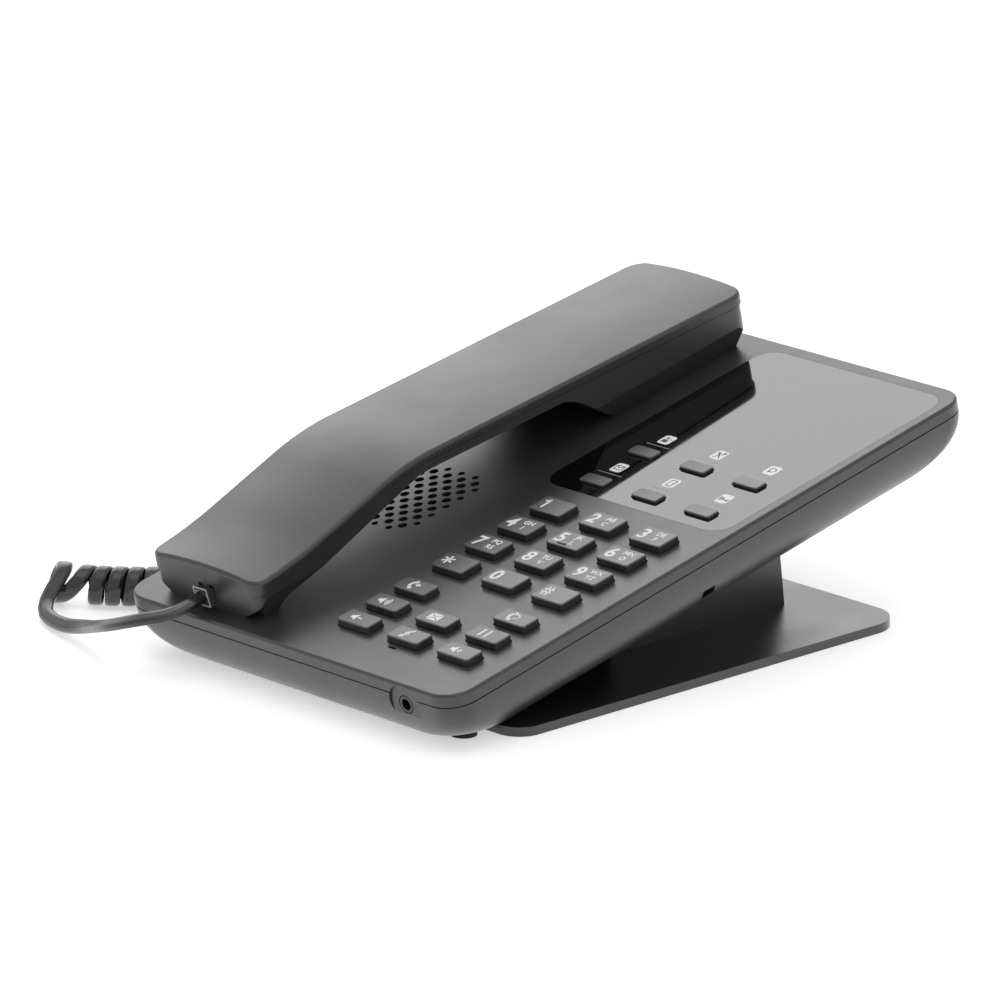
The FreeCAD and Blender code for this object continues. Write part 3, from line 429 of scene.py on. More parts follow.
@dataclass(frozen=True)
class CordJacket(Finish):
    """Glossy soft jacket of the cord, with faint lengthwise draw lines."""

    roughness: float = 0.26
    unevenness: float = 0.06
    light: float = 1.35
    tone_scale: float = 60.0
    grain_scale: float = 1500.0
    line_scale: float = 2.5
    line_waver: float = 0.4
    line_depth: float = 0.0002
    line_strength: float = 0.35

    def fill(self, graph: Graph, shader: bpy.types.Node) -> None:
        """Set up the surface with its draw lines."""
        super().fill(graph, shader)
        where = graph.add("ShaderNodeUVMap", {"uv_map": "jacket"})
        lines = graph.add("ShaderNodeTexWave", {"bands_direction": "X"}, Vector=where.outputs["UV"],
                          Scale=self.line_scale, Distortion=self.line_waver)
        graph.bump(shader, lines.outputs["Fac"], self.line_strength, self.line_depth)


BLACK = (0.026, 0.026, 0.0275)
CASE = MouldedPlastic("case_plastic", BLACK, roughness=0.36, specular=0.58)
HANDSET_PLASTIC = MouldedPlastic("handset_plastic", BLACK, roughness=0.38, specular=0.55)
STAND_PLASTIC = MouldedPlastic("stand_plastic", (0.01, 0.01, 0.0105), roughness=0.34, specular=0.65)
KEY_PLASTIC = MouldedPlastic("key_plastic", (0.022, 0.022, 0.023), roughness=0.34, specular=0.85,
                             grain_scale=3400.0)
JACK_PLASTIC = MouldedPlastic("jack_plastic", (0.012, 0.012, 0.013), roughness=0.35, dust=0.0)
RUBBER = MouldedPlastic("soft_rubber", (0.025, 0.025, 0.025), roughness=0.75, specular=0.3)
MAT_RUBBER = MouldedPlastic("mat_rubber", (0.42, 0.42, 0.41), roughness=0.6, dust=0.0)
FOAM = MouldedPlastic("black_foam", (0.02, 0.02, 0.02), roughness=0.9, specular=0.2, grain_depth=0.0003)
CONE = MouldedPlastic("speaker_cone", (0.016, 0.016, 0.016), roughness=0.8, specular=0.2, dust=0.0)
LAMINATE = MouldedPlastic("board_laminate", (0.02, 0.13, 0.05), roughness=0.35, dark=0.7, light=1.3,
                          dust=0.0)
PLATE_GLOSS = PolishedPlastic("faceplate_gloss", (0.004, 0.004, 0.0045))
CLEAR = ClearMoulding("clear_plug", (0.9, 0.92, 0.93))
WHITE_INK = PrintedInk("white_ink", (0.93, 0.93, 0.92))
GREY_INK = PrintedInk("grey_ink", (0.4, 0.4, 0.42))
DARK_INK = PrintedInk("dark_ink", (0.05, 0.055, 0.07))
# Light grey of the painted highlight along the clear plugs' edges, drawn as thin bars.
EDGE_HIGHLIGHT_PAINT = PrintedInk("painted_edge_highlight", (0.55, 0.56, 0.57))
STEEL = BareMetal("plated_steel", (0.55, 0.55, 0.54))
CAN = BareMetal("drawn_can", (0.6, 0.6, 0.6), roughness=0.4)
JACKET = CordJacket("cord_jacket", (0.014, 0.014, 0.0145))


# Meshes and pieces

def dress(finish: Finish, *nodes: str) -> None:
    """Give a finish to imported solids.

    Args:
        finish: Finish to give.
        *nodes: Names of the solids.
    """
    for name in nodes:
        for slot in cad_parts[name].material_slots:
            slot.material = finish.material()
        log.info("dressed %s in %s", name, finish.name)


def add_piece(name: str, shape: bmesh.types.BMesh, finish: Finish, body: str) -> None:
    """Make a finished shape into a piece of the object.

    Args:
        name: Name of the piece.
        shape: Its mesh, in metres in the frame.
        finish: Its finish.
        body: Body that it moves with.
    """
    bmesh.ops.recalc_face_normals(shape, faces=shape.faces)
    mesh = bpy.data.meshes.new(name)
    shape.to_mesh(mesh)
    shape.free()
    mesh.materials.append(finish.material())
    piece = bpy.data.objects.new(name, mesh)
    bpy.context.collection.objects.link(piece)
    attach(piece, body)
    log.info("built %s", name)


class Pen:
    """Draws printed marks as thin plates, in millimetres about the middle of what carries them."""

    arc_step = 12
    disc_sides = 20
    corner_steps = 4
    capital_share = 0.7
    text_steps = 5

    def __init__(self, low: float, high: float) -> None:
        """Start a drawing between two heights."""
        self.shape = bmesh.new()
        self.low = low
        self.thickness = high - low

    def raise_faces(self, faces: Sequence[bmesh.types.BMFace]) -> None:
        """Give flat faces their thickness."""
        grown = bmesh.ops.extrude_face_region(self.shape, geom=list(faces))
        verts = [part for part in grown["geom"] if isinstance(part, bmesh.types.BMVert)]
        bmesh.ops.translate(self.shape, vec=(0, 0, self.thickness), verts=verts)

    def outline(self, points: Sequence[Point]) -> Verts:
        """Corners of a flat outline at the lower height."""
        return [self.shape.verts.new((x, y, self.low)) for x, y in points]

    def area(self, points: Sequence[Point]) -> None:
        """Fill an outline."""
        self.raise_faces([self.shape.faces.new(self.outline(points))])

    def line(self, start: Point, end: Point, width: float) -> None:
        """Draw a straight stroke.

        Args:
            start: One end.
            end: Other end.
            width: Width of the stroke.
        """
        way = Vector((end[0] - start[0], end[1] - start[1])).normalized() * (width / 2)
        side = (-way.y, way.x)
        self.area([
            (start[0] + side[0], start[1] + side[1]),
            (start[0] - side[0], start[1] - side[1]),
            (end[0] - side[0], end[1] - side[1]),
            (end[0] + side[0], end[1] + side[1]),
        ])

    def arc(self, centre: Point, radius: float, width: float, start: float, sweep: float) -> None:
        """Draw a round stroke.

        Args:
            centre: Centre of the arc.
            radius: Radius at the middle of the stroke.
            width: Width of the stroke.
            start: Angle of its start in degrees.
            sweep: Angle that it turns through, to the left.
        """
        way = Vector((math.cos(math.radians(start)), math.sin(math.radians(start))))
        radii = (radius - width / 2, radius + width / 2)
        inner, outer = self.outline([(centre[0] + way.x * r, centre[1] + way.y * r) for r in radii])
        edge = self.shape.edges.new((inner, outer))
        before = set(self.shape.faces)
        bmesh.ops.spin(self.shape, geom=[inner, outer, edge], cent=(*centre, self.low), axis=(0, 0, 1),
                       angle=math.radians(sweep), steps=max(4, int(sweep / self.arc_step)),
                       use_merge=sweep >= 360)
        self.raise_faces([face for face in self.shape.faces if face not in before])

    def disc(self, centre: Point, radius: float) -> None:
        """Draw a filled circle."""
        turn = Matrix.Translation((*centre, self.low))
        made = bmesh.ops.create_circle(self.shape, cap_ends=True, segments=self.disc_sides, radius=radius,
                                       matrix=turn)
        self.raise_faces(made["verts"][0].link_faces)

    def tile(self, centre: Point, width: float, length: float, corner: float) -> None:
        """Draw a filled rectangle with rounded corners.

        Args:
            centre: Middle of the tile.
            width: Size across.
            length: Size along.
            corner: Radius of its corners.
        """
        x, y = centre
        a, b = width / 2, length / 2
        corners = self.outline([(x - a, y - b), (x + a, y - b), (x + a, y + b), (x - a, y + b)])
        face = self.shape.faces.new(corners)
        before = set(self.shape.faces) - {face}
        bmesh.ops.bevel(self.shape, geom=corners, offset=corner, segments=self.corner_steps, profile=0.5,
                        affect="VERTICES", material=-1)
        self.raise_faces([f for f in self.shape.faces if f not in before])

    def text(self, words: str, centre: Point, height: float, weight: float) -> None:
        """Set letters or numerals.

        Args:
            words: What is set.
            centre: Middle of the setting.
            height: Height of its capitals.
            weight: How much the strokes are thickened.
        """
        curve = bpy.data.curves.new("setting", "FONT")
        curve.body = words
        curve.size = height / self.capital_share
        curve.offset = weight
        curve.extrude = self.thickness / 2
        curve.resolution_u = self.text_steps
        holder = bpy.data.objects.new("setting", curve)
        mesh = bpy.data.meshes.new_from_object(holder)
        xs = [vert.co.x for vert in mesh.vertices]
        ys = [vert.co.y for vert in mesh.vertices]
        shift = (centre[0] - (min(xs) + max(xs)) / 2, centre[1] - (min(ys) + max(ys)) / 2,
                 self.low + self.thickness / 2)
        mesh.transform(Matrix.Translation(shift))
        self.shape.from_mesh(mesh)
        bpy.data.objects.remove(holder)
        bpy.data.meshes.remove(mesh)

    def border(self, half_width: float, half_length: float, width: float) -> None:
        """Draw the four sides of a rectangle.

        Args:
            half_width: Half of its size across.
            half_length: Half of its size along.
            width: Width of the strokes.
        """
        a, b = half_width, half_length
        corners = [(-a, -b), (a, -b), (a, b), (-a, b)]
        for i, corner in enumerate(corners):
            self.line(corners[i - 1], corner, width)

    def done(self, name: str, place: Matrix, ink: Finish, body: str) -> None:
        """Put the drawing where it belongs.

        Args:
            name: Name of the piece.
            place: Matrix from millimetres to the frame.
            ink: Finish of the mark.
            body: Body that it moves with.
        """
        bmesh.ops.transform(self.shape, matrix=place, verts=self.shape.verts)
        add_piece(name, self.shape, ink, body)


# Studio

@dataclass(frozen=True)
class Softbox:
    """Square lamp that looks at the telephone."""

    name: str
    place: Spot
    size: float
    brightness: float

    def build(self, aim: Vector) -> None:
        """Add the lamp.

        Args:
            aim: Point that it looks at.
        """
        lamp = bpy.data.lights.new(self.name, "AREA")
        lamp.shape = "SQUARE"
        lamp.size = self.size
        lamp.energy = self.brightness * math.pi * self.size ** 2
        holder = bpy.data.objects.new(self.name, lamp)
        holder.location = self.place
        holder.rotation_euler = (aim - Vector(self.place)).to_track_quat("-Z", "Y").to_euler()
        bpy.context.collection.objects.link(holder)


@dataclass
class Studio:
    """Camera at the photograph's angle, soft lamps and a pale floor."""

    camera_place: Spot = (1.67970, -1.59950, 0.73560)
    view_from: Spot = (0.69777, -0.65619, 0.28728)
    lens: float = 294.75
    sensor: float = 36.0
    sight: float = 20.0
    aim: Spot = (0.0, 0.0, 0.04)
    floor_size: float = 3.0
    floor_drop: float = 0.0001
    floor_tone: float = 0.9
    floor_roughness: float = 0.9
    floor_glow: float = 0.5
    ambient: float = 0.5

    def build(self) -> None:
        """Add the camera, the lamps, the surroundings and the floor."""
        self.add_camera()
        for lamp in (
            Softbox("rear_softbox", (-1.15, 0.8, 1.0), 1.3, 1.8),
            Softbox("top_softbox", (0.2, -0.2, 1.5), 1.0, 1.1),
            Softbox("front_softbox", (1.3, -0.5, 0.9), 0.9, 0.7),
        ):
            lamp.build(Vector(self.aim))
        self.add_surroundings()
        self.add_floor()

    def add_camera(self) -> None:
        """Stand the camera where the photograph was taken."""
        camera = bpy.data.cameras.new("camera")
        camera.lens = self.lens
        camera.sensor_width = self.sensor
        camera.clip_end = self.sight
        holder = bpy.data.objects.new("camera", camera)
        holder.location = self.camera_place
        holder.rotation_euler = Vector(self.view_from).to_track_quat("Z", "Y").to_euler()
        bpy.context.collection.objects.link(holder)
        bpy.context.scene.camera = holder
        bpy.context.scene.view_settings.view_transform = "Standard"

    def add_surroundings(self) -> None:
        """White surroundings that light the object softly."""
        world = bpy.data.worlds.new("white_room")
        world.use_nodes = True
        graph = Graph(world.node_tree)
        rays = graph.add("ShaderNodeLightPath")
        seen = self.either(graph, rays, ("Is Camera Ray", "Is Glossy Ray", "Is Transmission Ray"))
        strength = graph.span(seen, self.ambient, 1.0)
        background = world.node_tree.nodes["Background"]
        graph.feed(background, "Color", (1.0, 1.0, 1.0, 1.0))
        graph.feed(background, "Strength", strength)
        bpy.context.scene.world = world

    def either(self, graph: Graph, rays: bpy.types.Node, names: Sequence[str]) -> Socket:
        """Largest of several ray tests.

        Args:
            graph: Graph to add to.
            rays: Light path node.
            names: Names of its outputs.

        Returns:
            Socket that is 1 where any test holds.
        """
        found = rays.outputs[names[0]]
        for name in names[1:]:
            node = graph.add("ShaderNodeMath", {"operation": "MAXIMUM"})
            graph.tree.links.new(found, node.inputs[0])
            graph.tree.links.new(rays.outputs[name], node.inputs[1])
            found = node.outputs["Value"]
        return found

    def add_floor(self) -> None:
        """Pale floor that keeps a soft shadow."""
        shape = bmesh.new()
        bmesh.ops.create_grid(shape, x_segments=2, y_segments=2, size=self.floor_size / 2,
                              matrix=Matrix.Translation((0, 0, -self.floor_drop)))
        mesh = bpy.data.meshes.new("floor")
        shape.to_mesh(mesh)
        shape.free()
        floor = bpy.data.objects.new("floor", mesh)
        bpy.context.collection.objects.link(floor)
        material, graph, shader = new_shader("pale_floor")
        graph.feed(shader, "Base Color", (self.floor_tone, self.floor_tone, self.floor_tone, 1.0))
        graph.feed(shader, "Roughness", self.floor_roughness)
        rays = graph.add("ShaderNodeLightPath")
        mirrored = self.either(graph, rays, ("Is Glossy Ray", "Is Transmission Ray"))
        glow = graph.add("ShaderNodeMath", {"operation": "MULTIPLY_ADD"})
        graph.tree.links.new(rays.outputs["Is Camera Ray"], glow.inputs[0])
        glow.inputs[1].default_value = self.floor_glow
        graph.tree.links.new(mirrored, glow.inputs[2])
        graph.feed(shader, "Emission Color", (1.0, 1.0, 1.0, 1.0))
        graph.feed(shader, "Emission Strength", glow.outputs["Value"])
        mesh.materials.append(material)


# Cord

# Where the cord leaves its two plugs, in millimetres
HANDSET_PLUG_END = (-39.0, -102.543, 23.05)
BASE_PLUG_END = (-68.3, 77.427, 46.49)


@dataclass
class CurlyCord:
    """Flat cord from the handset's plug, through the curly part, to the plug in the base. Millimetres."""

    width: float = 4.7
    thickness: float = 2.5
    coil_radius: float = 4.8
    coil_pitch: float = 5.0
    coil_turns: int = 34
    coil_height: float = 6.2
    coil_start: Point = (-117.9, -87.895)
    coil_heading: float = 35.0
    first_run: float = 10.5
    bend_radius: float = 60.0
    start_angle: float = 150.0
    end_angle: float = 180.0
    first_turn_extra: float = 1.5
    first_turn_skew: float = 7.5
    first_turn_grow: float = 1.4
    points_per_turn: int = 12
    spline_steps: int = 4
    section_steps: int = 16
    section_power: float = 0.66
    map_length: float = 100.0
    lead_facing_plug: Spot = (0.1, -0.3, 1.0)
    lead_facing_coil: Spot = (0.55, -0.75, 0.5)
    base_facing: Spot = (0.0, -0.3, 1.0)
    handset_route: tuple[Spot, ...] = (
        HANDSET_PLUG_END, (-39.0, -112.522, 19.78), (-46.5, -119.895, 18.2), (-58.5, -120.095, 13.8),
        (-71.0, -115.695, 9.4), (-82.5, -110.895, 5.6), (-95.0, -109.295, 2.8), (-111.81, -103.09, 2.1),
    )
    base_route: tuple[Spot, ...] = (
        (-95.5, 73.2, 10.6), (-109.0, 74.105, 22.0), (-106.0, 76.405, 36.5), (-93.5, 77.405, 44.9),
        (-80.3, 77.427, 46.49), BASE_PLUG_END,
    )

    def axis(self, length: float) -> tuple[Vector, Vector]:
        """Point and direction of the coil's axis.

        Args:
            length: Length along the axis from its start.

        Returns:
            The point and the unit direction.
        """
        heading = math.radians(self.coil_heading)
        way = Vector((math.cos(heading), math.sin(heading), 0))
        start = Vector((*self.coil_start, self.coil_height))
        if length < self.first_run:
            return start + way * length, way
        first = start + way * self.first_run
        centre = first + Vector((-way.y, way.x, 0)) * self.bend_radius
        turn = math.pi / 2 - heading
        arc = length - self.first_run
        angle = heading + min(arc / self.bend_radius, turn)
        way = Vector((math.cos(angle), math.sin(angle), 0))
        point = centre + Vector((way.y, -way.x, 0)) * self.bend_radius
        return point + way * max(0.0, arc - self.bend_radius * turn), way

    def coil_point(self, angle: float) -> tuple[Vector, Vector]:
        """Point of the coiled cord and its outward direction.

        Args:
            angle: Turning angle in degrees, measured from underneath.

        Returns:
            The point and the direction away from the axis.
        """
        turns = (angle - self.start_angle) / 360
        loose = math.sin(math.pi * turns) ** 2 if 0 < turns < 1 else 0.0
        first = min(turns, 1) * self.first_turn_extra - loose * self.first_turn_skew
        centre, way = self.axis(turns * self.coil_pitch + first)
        side = Vector((way.y, -way.x, 0))
        turn = math.radians(angle)
        out = side * math.sin(turn) - Vector((0, 0, 1)) * math.cos(turn)
        spline_share = (3 + math.cos(2 * math.pi / self.points_per_turn)) / 4
        radius = (self.coil_radius + loose * self.first_turn_grow) / spline_share
        return centre + Vector((0, 0, loose * self.first_turn_grow)) + out * radius, out

    def route(self) -> tuple[list[Vector], list[Vector]]:
        """Control points of the whole cord, with the direction that its flat side faces at each.

        Returns:
            The points and the directions.
        """
        points = [Vector(p) for p in self.handset_route]
        flat = Vector(self.lead_facing_plug)
        turned = Vector(self.lead_facing_coil)
        facing = [flat.lerp(turned, i / (len(points) - 1)).normalized() for i in range(len(points))]
        last = self.end_angle + 360 * self.coil_turns
        count = round((last - self.start_angle) / 360 * self.points_per_turn)
        for i in range(count + 1):
            point, out = self.coil_point(self.start_angle + (last - self.start_angle) * i / count)
            points.append(point)
            facing.append(out)
        points += [Vector(p) for p in self.base_route]
        facing += [Vector(self.base_facing).normalized() for p in self.base_route]
        return points, facing

    def centreline(self, points: Sequence[Vector]) -> list[Vector]:
        """Points read from the smooth spline that the route controls.

        Args:
            points: Control points.

        Returns:
            The points along the spline, in millimetres.
        """
        curve = bpy.data.curves.new("cord_route", "CURVE")
        curve.dimensions = "3D"
        spline = curve.splines.new("NURBS")
        spline.points.add(len(points) - 1)
        for knot, point in zip(spline.points, points):
            knot.co = (*point, 1.0)
        spline.order_u = 3
        spline.use_endpoint_u = True
        spline.resolution_u = self.spline_steps
        holder = bpy.data.objects.new("cord_route", curve)
        mesh = bpy.data.meshes.new_from_object(holder)
        found = [vert.co.copy() for vert in mesh.vertices]
        bpy.data.objects.remove(holder)
        bpy.data.meshes.remove(mesh)
        return found

    def section(self) -> list[Point]:
        """Flat oval section as across and up points."""
        turns = [2 * math.pi * i / self.section_steps for i in range(self.section_steps)]
        power = self.section_power
        oval = []
        for turn in turns:
            c, s = math.cos(turn), math.sin(turn)
            across = math.copysign(abs(c) ** power, c) * self.width / 2
            oval.append((across, math.copysign(abs(s) ** power, s) * self.thickness / 2))
        return oval

    def rings(
        self, shape: bmesh.types.BMesh, line: Sequence[Vector], facing: Sequence[Vector]
    ) -> list[Verts]:
        """Copies of the section along the cord.

        Args:
            shape: Mesh to add to.
            line: Points along the cord.
            facing: Directions that the flat side faces, evenly spread along it.

        Returns:
            The vertices of each copy.
        """
        section = self.section()
        made = []
        for i, point in enumerate(line):
            way = (line[min(i + 1, len(line) - 1)] - line[max(i - 1, 0)]).normalized()
            spot = i / (len(line) - 1) * (len(facing) - 1)
            near = min(int(spot), len(facing) - 2)
            out = facing[near].lerp(facing[near + 1], spot - near)
            up = (out - way * out.dot(way)).normalized()
            across = way.cross(up)
            made.append([shape.verts.new((point + across * a + up * b) * MM) for a, b in section])
        return made

    def sweep(self, line: Sequence[Vector], facing: Sequence[Vector]) -> bpy.types.Mesh:
        """Mesh of the cord, with its length and its girth as the jacket's map.

        Args:
            line: Points along the cord.
            facing: Directions that the flat side faces.

        Returns:
            The mesh.
        """
        shape = bmesh.new()
        uv = shape.loops.layers.uv.new("jacket")
        rings = self.rings(shape, line, facing)
        count = self.section_steps
        run = 0.0
        for i in range(len(rings) - 1):
            step = (line[i + 1] - line[i]).length
            for k in range(count):
                face = shape.faces.new((rings[i][k], rings[i][(k + 1) % count],
                                        rings[i + 1][(k + 1) % count], rings[i + 1][k]))
                face.smooth = True
                corners = ((k, run), (k + 1, run), (k + 1, run + step), (k, run + step))
                for loop, (round_share, along) in zip(face.loops, corners):
                    loop[uv].uv = (round_share / count, along / self.map_length)
            run += step
        for ring in (rings[0], rings[-1]):
            shape.faces.new(ring)
        bmesh.ops.recalc_face_normals(shape, faces=shape.faces)
        mesh = bpy.data.meshes.new("cord")
        shape.to_mesh(mesh)
        shape.free()
        return mesh

    def build(self) -> None:
        points, facing = self.route()
        line = self.centreline(points)
        mesh = self.sweep(line, facing)
        mesh.materials.append(JACKET.material())
        cord = bpy.data.objects.new("cord", mesh)
        bpy.context.collection.objects.link(cord)
        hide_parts("handset_lead", "curly_cord", "base_lead")
        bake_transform(cord)


# Keys

INK_LOW = -0.02
INK_HIGH = 0.03


def print_key(pen: Pen, key: str, shift: float = 0.0) -> None:
    """Put a legend on its key.

    Args:
        pen: Drawing about the middle of the key's top.
        key: Name of the key.
        shift: How far across the key the drawing's middle lies.
    """
    spot = FACE.top_of(key) + Vector((shift, 0, 0))
    pen.done(key + "_legend", FACE.place(*spot), WHITE_INK, key + "_cap")


@dataclass
class DialKeys:
    """Dial keys with their numerals and letters. Places are from the middle of a key, in millimetres."""

    numeral_u: float = -3.7
    numeral_v: float = 0.2
    numeral_height: float = 5.0
    numeral_weight: float = 0.17
    one_stroke: float = 0.8
    one_reach: float = 1.5
    one_drop: float = 1.3
    star_shift: float = 0.4
    star_reach: float = 2.2
    star_stroke: float = 0.7
    hash_shift: float = 0.3
    hash_gap: float = 1.5
    hash_row_gap: float = 1.65
    hash_reach: float = 1.875
    hash_stroke: float = 0.6
    bar_place: Point = (-1.1, -2.75)
    bar_width: float = 3.4
    bar_length: float = 0.6
    bar_corner: float = 0.25
    bar_root: float = -0.1
    bar_height: float = 0.3
    letters_u: float = 1.9
    upper_v: float = 1.8
    lower_v: float = -1.3
    letter_height: float = 1.95
    letter_weight: float = 0.07
    letters: tuple[tuple[str, str, str], ...] = (
        ("1", "", ""), ("2", "AB", "C"), ("3", "DE", "F"), ("4", "GH", "I"), ("5", "JK", "L"),
        ("6", "MN", "O"), ("7", "PQ", "RS"), ("8", "TU", "V"), ("9", "WX", "YZ"), ("0", "", ""),
    )

    def build(self) -> None:
        """Dress the caps and print their legends."""
        for numeral, upper, lower in self.letters:
            key = "key_" + numeral
            dress(KEY_PLASTIC, key)
            pen = Pen(INK_LOW, INK_HIGH)
            if numeral == "1":
                self.draw_one(pen)
            else:
                pen.text(numeral, (self.numeral_u, self.numeral_v), self.numeral_height, self.numeral_weight)
            if upper:
                pen.text(upper, (self.letters_u, self.upper_v), self.letter_height, self.letter_weight)
                pen.text(lower, (self.letters_u, self.lower_v), self.letter_height, self.letter_weight)
            print_key(pen, key)
        self.print_star()
        self.print_hash()
        self.add_bar()

    def draw_one(self, pen: Pen) -> None:
        """Numeral one as an upright stroke with a flag."""
        u = self.numeral_u + self.one_reach / 2
        top = self.numeral_v + self.numeral_height / 2
        pen.line((u, top - self.numeral_height), (u, top), self.one_stroke)
        flag_end = (u - self.one_reach, top - self.one_drop)
        pen.line((u, top - self.one_stroke / 2), flag_end, self.one_stroke)

    def print_star(self) -> None:
        """Star of six strokes."""
        dress(KEY_PLASTIC, "key_star")
        pen = Pen(INK_LOW, INK_HIGH)
        u = self.numeral_u + self.star_shift
        for angle in (90, 30, 150):
            across = self.star_reach * math.cos(math.radians(angle))
            along = self.star_reach * math.sin(math.radians(angle))
            start = (u - across, self.numeral_v - along)
            pen.line(start, (u + across, self.numeral_v + along), self.star_stroke)
        print_key(pen, "key_star")

    def print_hash(self) -> None:
        """Hash sign of two upright and two level strokes."""
        dress(KEY_PLASTIC, "key_hash")
        pen = Pen(INK_LOW, INK_HIGH)
        middle = self.numeral_u + self.hash_shift
        reach = self.numeral_height / 2
        for side in (-0.5, 0.5):
            u = middle + side * self.hash_gap
            pen.line((u, self.numeral_v - reach), (u, self.numeral_v + reach), self.hash_stroke)
            v = self.numeral_v + side * self.hash_row_gap
            pen.line((middle - self.hash_reach, v), (middle + self.hash_reach, v), self.hash_stroke)
        print_key(pen, "key_hash")

    def add_bar(self) -> None:
        """Raised bar that lets a finger find the middle key."""
        pen = Pen(self.bar_root, self.bar_height)
        pen.tile(self.bar_place, self.bar_width, self.bar_length, self.bar_corner)
        spot = FACE.top_of("key_5")
        pen.done("key_5_bar", FACE.place(*spot), KEY_PLASTIC, "key_5_cap")


class Mark(Enum):
    """Pictograms of the function keys, by the key's name."""

    TRANSFER = "key_transfer"
    SPEAKER = "key_speaker"
    VOLUME_DOWN = "key_volume_down"
    MESSAGE = "key_message"
    FLASH = "key_flash"
    REDIAL = "key_redial"
    HOLD = "key_hold"
    VOLUME_UP = "key_volume_up"


@dataclass
class FunctionKeys:
    """Function keys with their pictograms, in millimetres about a spot left of the key's middle."""

    mark_u: float = -1.0
    sign_stroke: float = 0.55
    wave_stroke: float = 0.38
    bolt_stroke: float = 0.75

    def build(self) -> None:
        """Dress the caps and print a pictogram on each."""
        for mark in Mark:
            dress(KEY_PLASTIC, mark.value)
            pen = Pen(INK_LOW, INK_HIGH)
            self.draw(pen, mark)
            print_key(pen, mark.value, self.mark_u)

    def draw(self, pen: Pen, mark: Mark) -> None:
        """Draw one pictogram.

        Args:
            pen: Drawing to add to.
            mark: Which pictogram.
        """
        if mark is Mark.TRANSFER:
            self.receiver(pen, -0.3)
            pen.line((0.5, 0.5), (1.5, 0.5), 0.6)
            pen.area([(1.4, -0.5), (2.7, 0.5), (1.4, 1.5)])
        elif mark is Mark.SPEAKER:
            self.horn(pen, -1.0)
            for radius in (0.9, 1.65, 2.4):
                pen.arc((-0.4, 0.0), radius, self.wave_stroke, -48, 96)
        elif mark in (Mark.VOLUME_DOWN, Mark.VOLUME_UP):
            self.horn(pen, -0.6)
            pen.line((0.4, 0), (2.0, 0), self.sign_stroke)
            if mark is Mark.VOLUME_UP:
                pen.line((1.2, -0.8), (1.2, 0.8), self.sign_stroke)
        elif mark is Mark.MESSAGE:
            self.envelope(pen)
        elif mark is Mark.FLASH:
            bolt = ((1.5, 2.3), (-0.8, -0.1), (1.0, 0.3), (-0.6, -1.5))
            for start, end in zip(bolt, bolt[1:]):
                pen.line(start, end, self.bolt_stroke)
            pen.area([(-1.5, -2.5), (0.4, -1.9), (-1.1, -0.6)])
        elif mark is Mark.HOLD:
            for u in (-1.2, 1.2):
                pen.line((u, -2.0), (u, 2.0), self.bolt_stroke)
        else:
            self.receiver(pen, -0.6)
            pen.arc((0.9, 0.3), 1.2, 0.42, -100, 250)

    def receiver(self, pen: Pen, u: float) -> None:
        """Telephone receiver standing on end.

        Args:
            pen: Drawing to add to.
            u: Place across the key.
        """
        pen.arc((u + 1.0, 0), 1.8, 0.9, 115, 130)
        for way in (-1, 1):
            pen.disc((u + 0.35, way * 1.7), 0.72)

    def horn(self, pen: Pen, u: float) -> None:
        """Loudspeaker seen from the side.

        Args:
            pen: Drawing to add to.
            u: Place of its mouth across the key.
        """
        back, neck, mouth = u - 1.7, u - 0.9, u + 0.5
        pen.area([(back, -0.65), (neck, -0.65), (mouth, -1.75), (mouth, 1.75), (neck, 0.65), (back, 0.65)])

    def envelope(self, pen: Pen) -> None:
        """Closed envelope of four flaps with thin gaps between them."""
        a, b, gap = 2.35, 1.85, 0.22
        pen.area([(-a, -b + gap), (-gap, 0), (-a, b - gap)])
        pen.area([(a, -b + gap), (a, b - gap), (gap, 0)])
        pen.area([(-a + gap, b), (0, gap), (a - gap, b)])
        pen.area([(-a + gap, -b), (a - gap, -b), (0, -gap)])


class Service(Enum):
    """Pictograms of the service plate, by the number of the button in front of them."""

    PERSON = 1
    CUTLERY = 2
    SPEECH = 3
    LETTER = 4
    DOOR = 5
    BED = 6


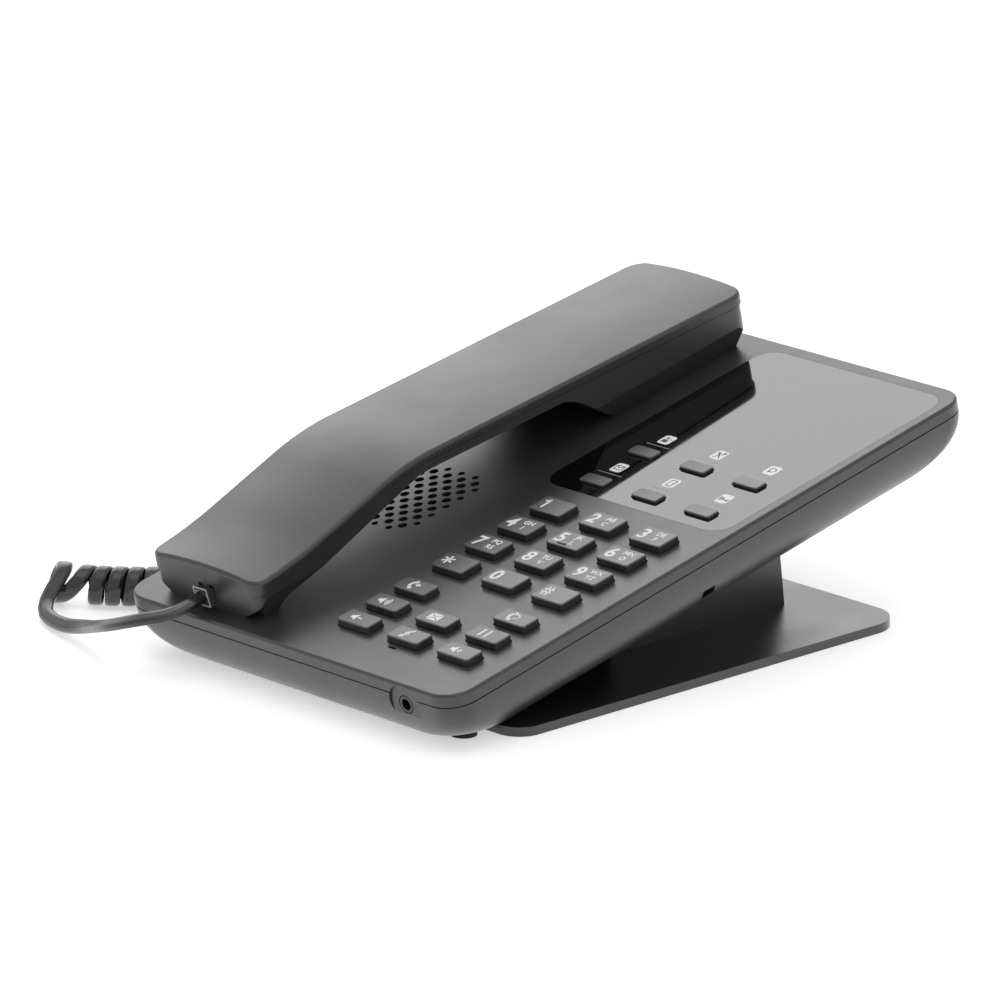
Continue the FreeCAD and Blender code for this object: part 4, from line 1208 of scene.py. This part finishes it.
@dataclass
class ServicePlate:
    """Glossy plate with its buttons and a printed pictogram behind each. Millimetres."""

    tile_v: float = 9.9
    tile_u: float = -0.2
    tile_width: float = 4.6
    tile_length: float = 5.2
    tile_corner: float = 1.1
    rule_v: float = 5.7
    rule_width: float = 9.8
    rule_stroke: float = 0.22
    print_low: float = -0.01
    print_high: float = 0.02
    sign_low: float = 0.01
    sign_high: float = 0.035
    sign_stroke: float = 0.36

    def build(self) -> None:
        """Dress the plate and the buttons, and print the pictograms."""
        dress(PLATE_GLOSS, "faceplate")
        plate = FACE.top_of("faceplate")
        for service in Service:
            button = "service_button_%d" % service.value
            dress(KEY_PLASTIC, button)
            spot = FACE.top_of(button)
            place = FACE.place(spot.x + self.tile_u, spot.y + self.tile_v, plate.z)
            tile = Pen(self.print_low, self.print_high)
            tile.tile((0, 0), self.tile_width, self.tile_length, self.tile_corner)
            tile.done(button + "_tile", place, WHITE_INK, "phone")
            sign = Pen(self.sign_low, self.sign_high)
            self.draw(sign, service)
            sign.done(button + "_sign", place, DARK_INK, "phone")
            rule = Pen(self.print_low, self.print_high)
            rule.line((-self.rule_width / 2, 0), (self.rule_width / 2, 0), self.rule_stroke)
            behind = FACE.place(spot.x, spot.y + self.rule_v, plate.z)
            rule.done(button + "_rule", behind, GREY_INK, "phone")

    def draw(self, pen: Pen, service: Service) -> None:
        """Draw one pictogram in the middle of its tile.

        Args:
            pen: Drawing to add to.
            service: Which pictogram.
        """
        if service is Service.PERSON:
            pen.disc((-0.4, 1.0), 0.6)
            pen.area([(-1.5, -1.5), (0.7, -1.5), (0.5, 0.1), (-1.3, 0.1)])
            pen.line((0.9, 0.6), (1.7, 0.6), 0.4)
        elif service is Service.CUTLERY:
            pen.line((-1.2, -1.7), (1.0, 1.2), self.sign_stroke)
            pen.disc((1.15, 1.4), 0.55)
            pen.line((1.2, -1.7), (-0.4, 0.4), self.sign_stroke)
            pen.line((-0.4, 0.4), (-1.3, 1.6), 0.75)
        elif service is Service.SPEECH:
            pen.arc((0, 0.2), 1.1, self.sign_stroke, 0, 360)
            pen.area([(-0.9, -0.5), (-0.2, -0.8), (-1.2, -1.7)])
        elif service is Service.LETTER:
            pen.border(1.5, 1.1, 0.3)
            for u in (-1.5, 1.5):
                pen.line((u, 1.1), (0, -0.2), 0.3)
        elif service is Service.DOOR:
            pen.border(1.0, 1.7, 0.34)
            pen.disc((0.4, 0.0), 0.28)
        else:
            pen.line((-1.6, -1.2), (-1.6, 1.0), self.sign_stroke)
            pen.line((-1.6, -0.5), (1.6, -0.5), 0.5)
            pen.line((1.6, -1.2), (1.6, 0.2), self.sign_stroke)
            pen.disc((-0.7, 0.3), 0.45)


# Body, handset and stand

@dataclass(frozen=True)
class PlugEdgeHighlight:
    """Light-grey bars painted around the rear end of a clear plug as a painted highlight, where its edges
    catch the light. Millimetres.
    """

    plug: str
    place: Spot
    axis: str
    turn: float
    body: str
    size: float = 6.2
    edge: float = 0.4
    root: float = -0.1
    height: float = 0.12

    def build(self) -> None:
        """Draw the painted highlight along the four edges of the plug's end."""
        pen = Pen(self.root, self.height)
        half = (self.size - self.edge) / 2
        pen.border(half, half, self.edge)
        spot = Matrix.Translation(Vector(self.place) * MM)
        place = spot @ Matrix.Rotation(math.radians(self.turn), 4, self.axis) @ Matrix.Scale(MM, 4)
        pen.done(self.plug + "_edges", place, EDGE_HIGHLIGHT_PAINT, self.body)


@dataclass
class Body:
    """Case, jacks and what lies inside."""

    plug_turn: float = -90.0

    def build(self) -> None:
        """Dress the case and its inside."""
        dress(CASE, "upper_case", "lower_case")
        dress(JACK_PLASTIC, "headset_jack", "network_jack", "base_jack", "hook_switch", "hook_plunger")
        dress(LAMINATE, "main_board")
        dress(MAT_RUBBER, "keypad_mat", "button_mat")
        dress(CONE, "speaker")
        dress(FOAM, "speaker_gasket")
        dress(CAN, "base_microphone")
        dress(STEEL, "case_screws", "board_screws", "stand_screws")
        dress(RUBBER, "rubber_feet")
        dress(CLEAR, "base_plug")
        # Painted highlight along the edges of the base plug.
        PlugEdgeHighlight("base_plug", BASE_PLUG_END, "Y", self.plug_turn, "phone").build()


@dataclass
class Handset:
    """Handset with its plug."""

    plug_turn: float = 108.13

    def build(self) -> None:
        """Dress the handset."""
        dress(HANDSET_PLASTIC, "handset_lid", "handset_shell")
        dress(CAN, "handset_receiver", "handset_microphone")
        dress(JACK_PLASTIC, "handset_jack")
        dress(STEEL, "handset_screws")
        dress(CLEAR, "handset_plug")
        # Painted highlight along the edges of the handset plug.
        PlugEdgeHighlight("handset_plug", HANDSET_PLUG_END, "X", self.plug_turn, "handset").build()


@dataclass
class Stand:
    """Plate and column under the body."""

    def build(self) -> None:
        """Dress the stand."""
        dress(STAND_PLASTIC, "stand")


def main() -> None:
    """Build the telephone and its studio."""
    logging.basicConfig(level=logging.INFO, format="%(name)s: %(message)s")
    parts = (Studio(), CurlyCord(), Body(), DialKeys(), FunctionKeys(), ServicePlate(), Handset(), Stand())
    for part in parts:
        part.build()


if __name__ == "__main__":
    main()
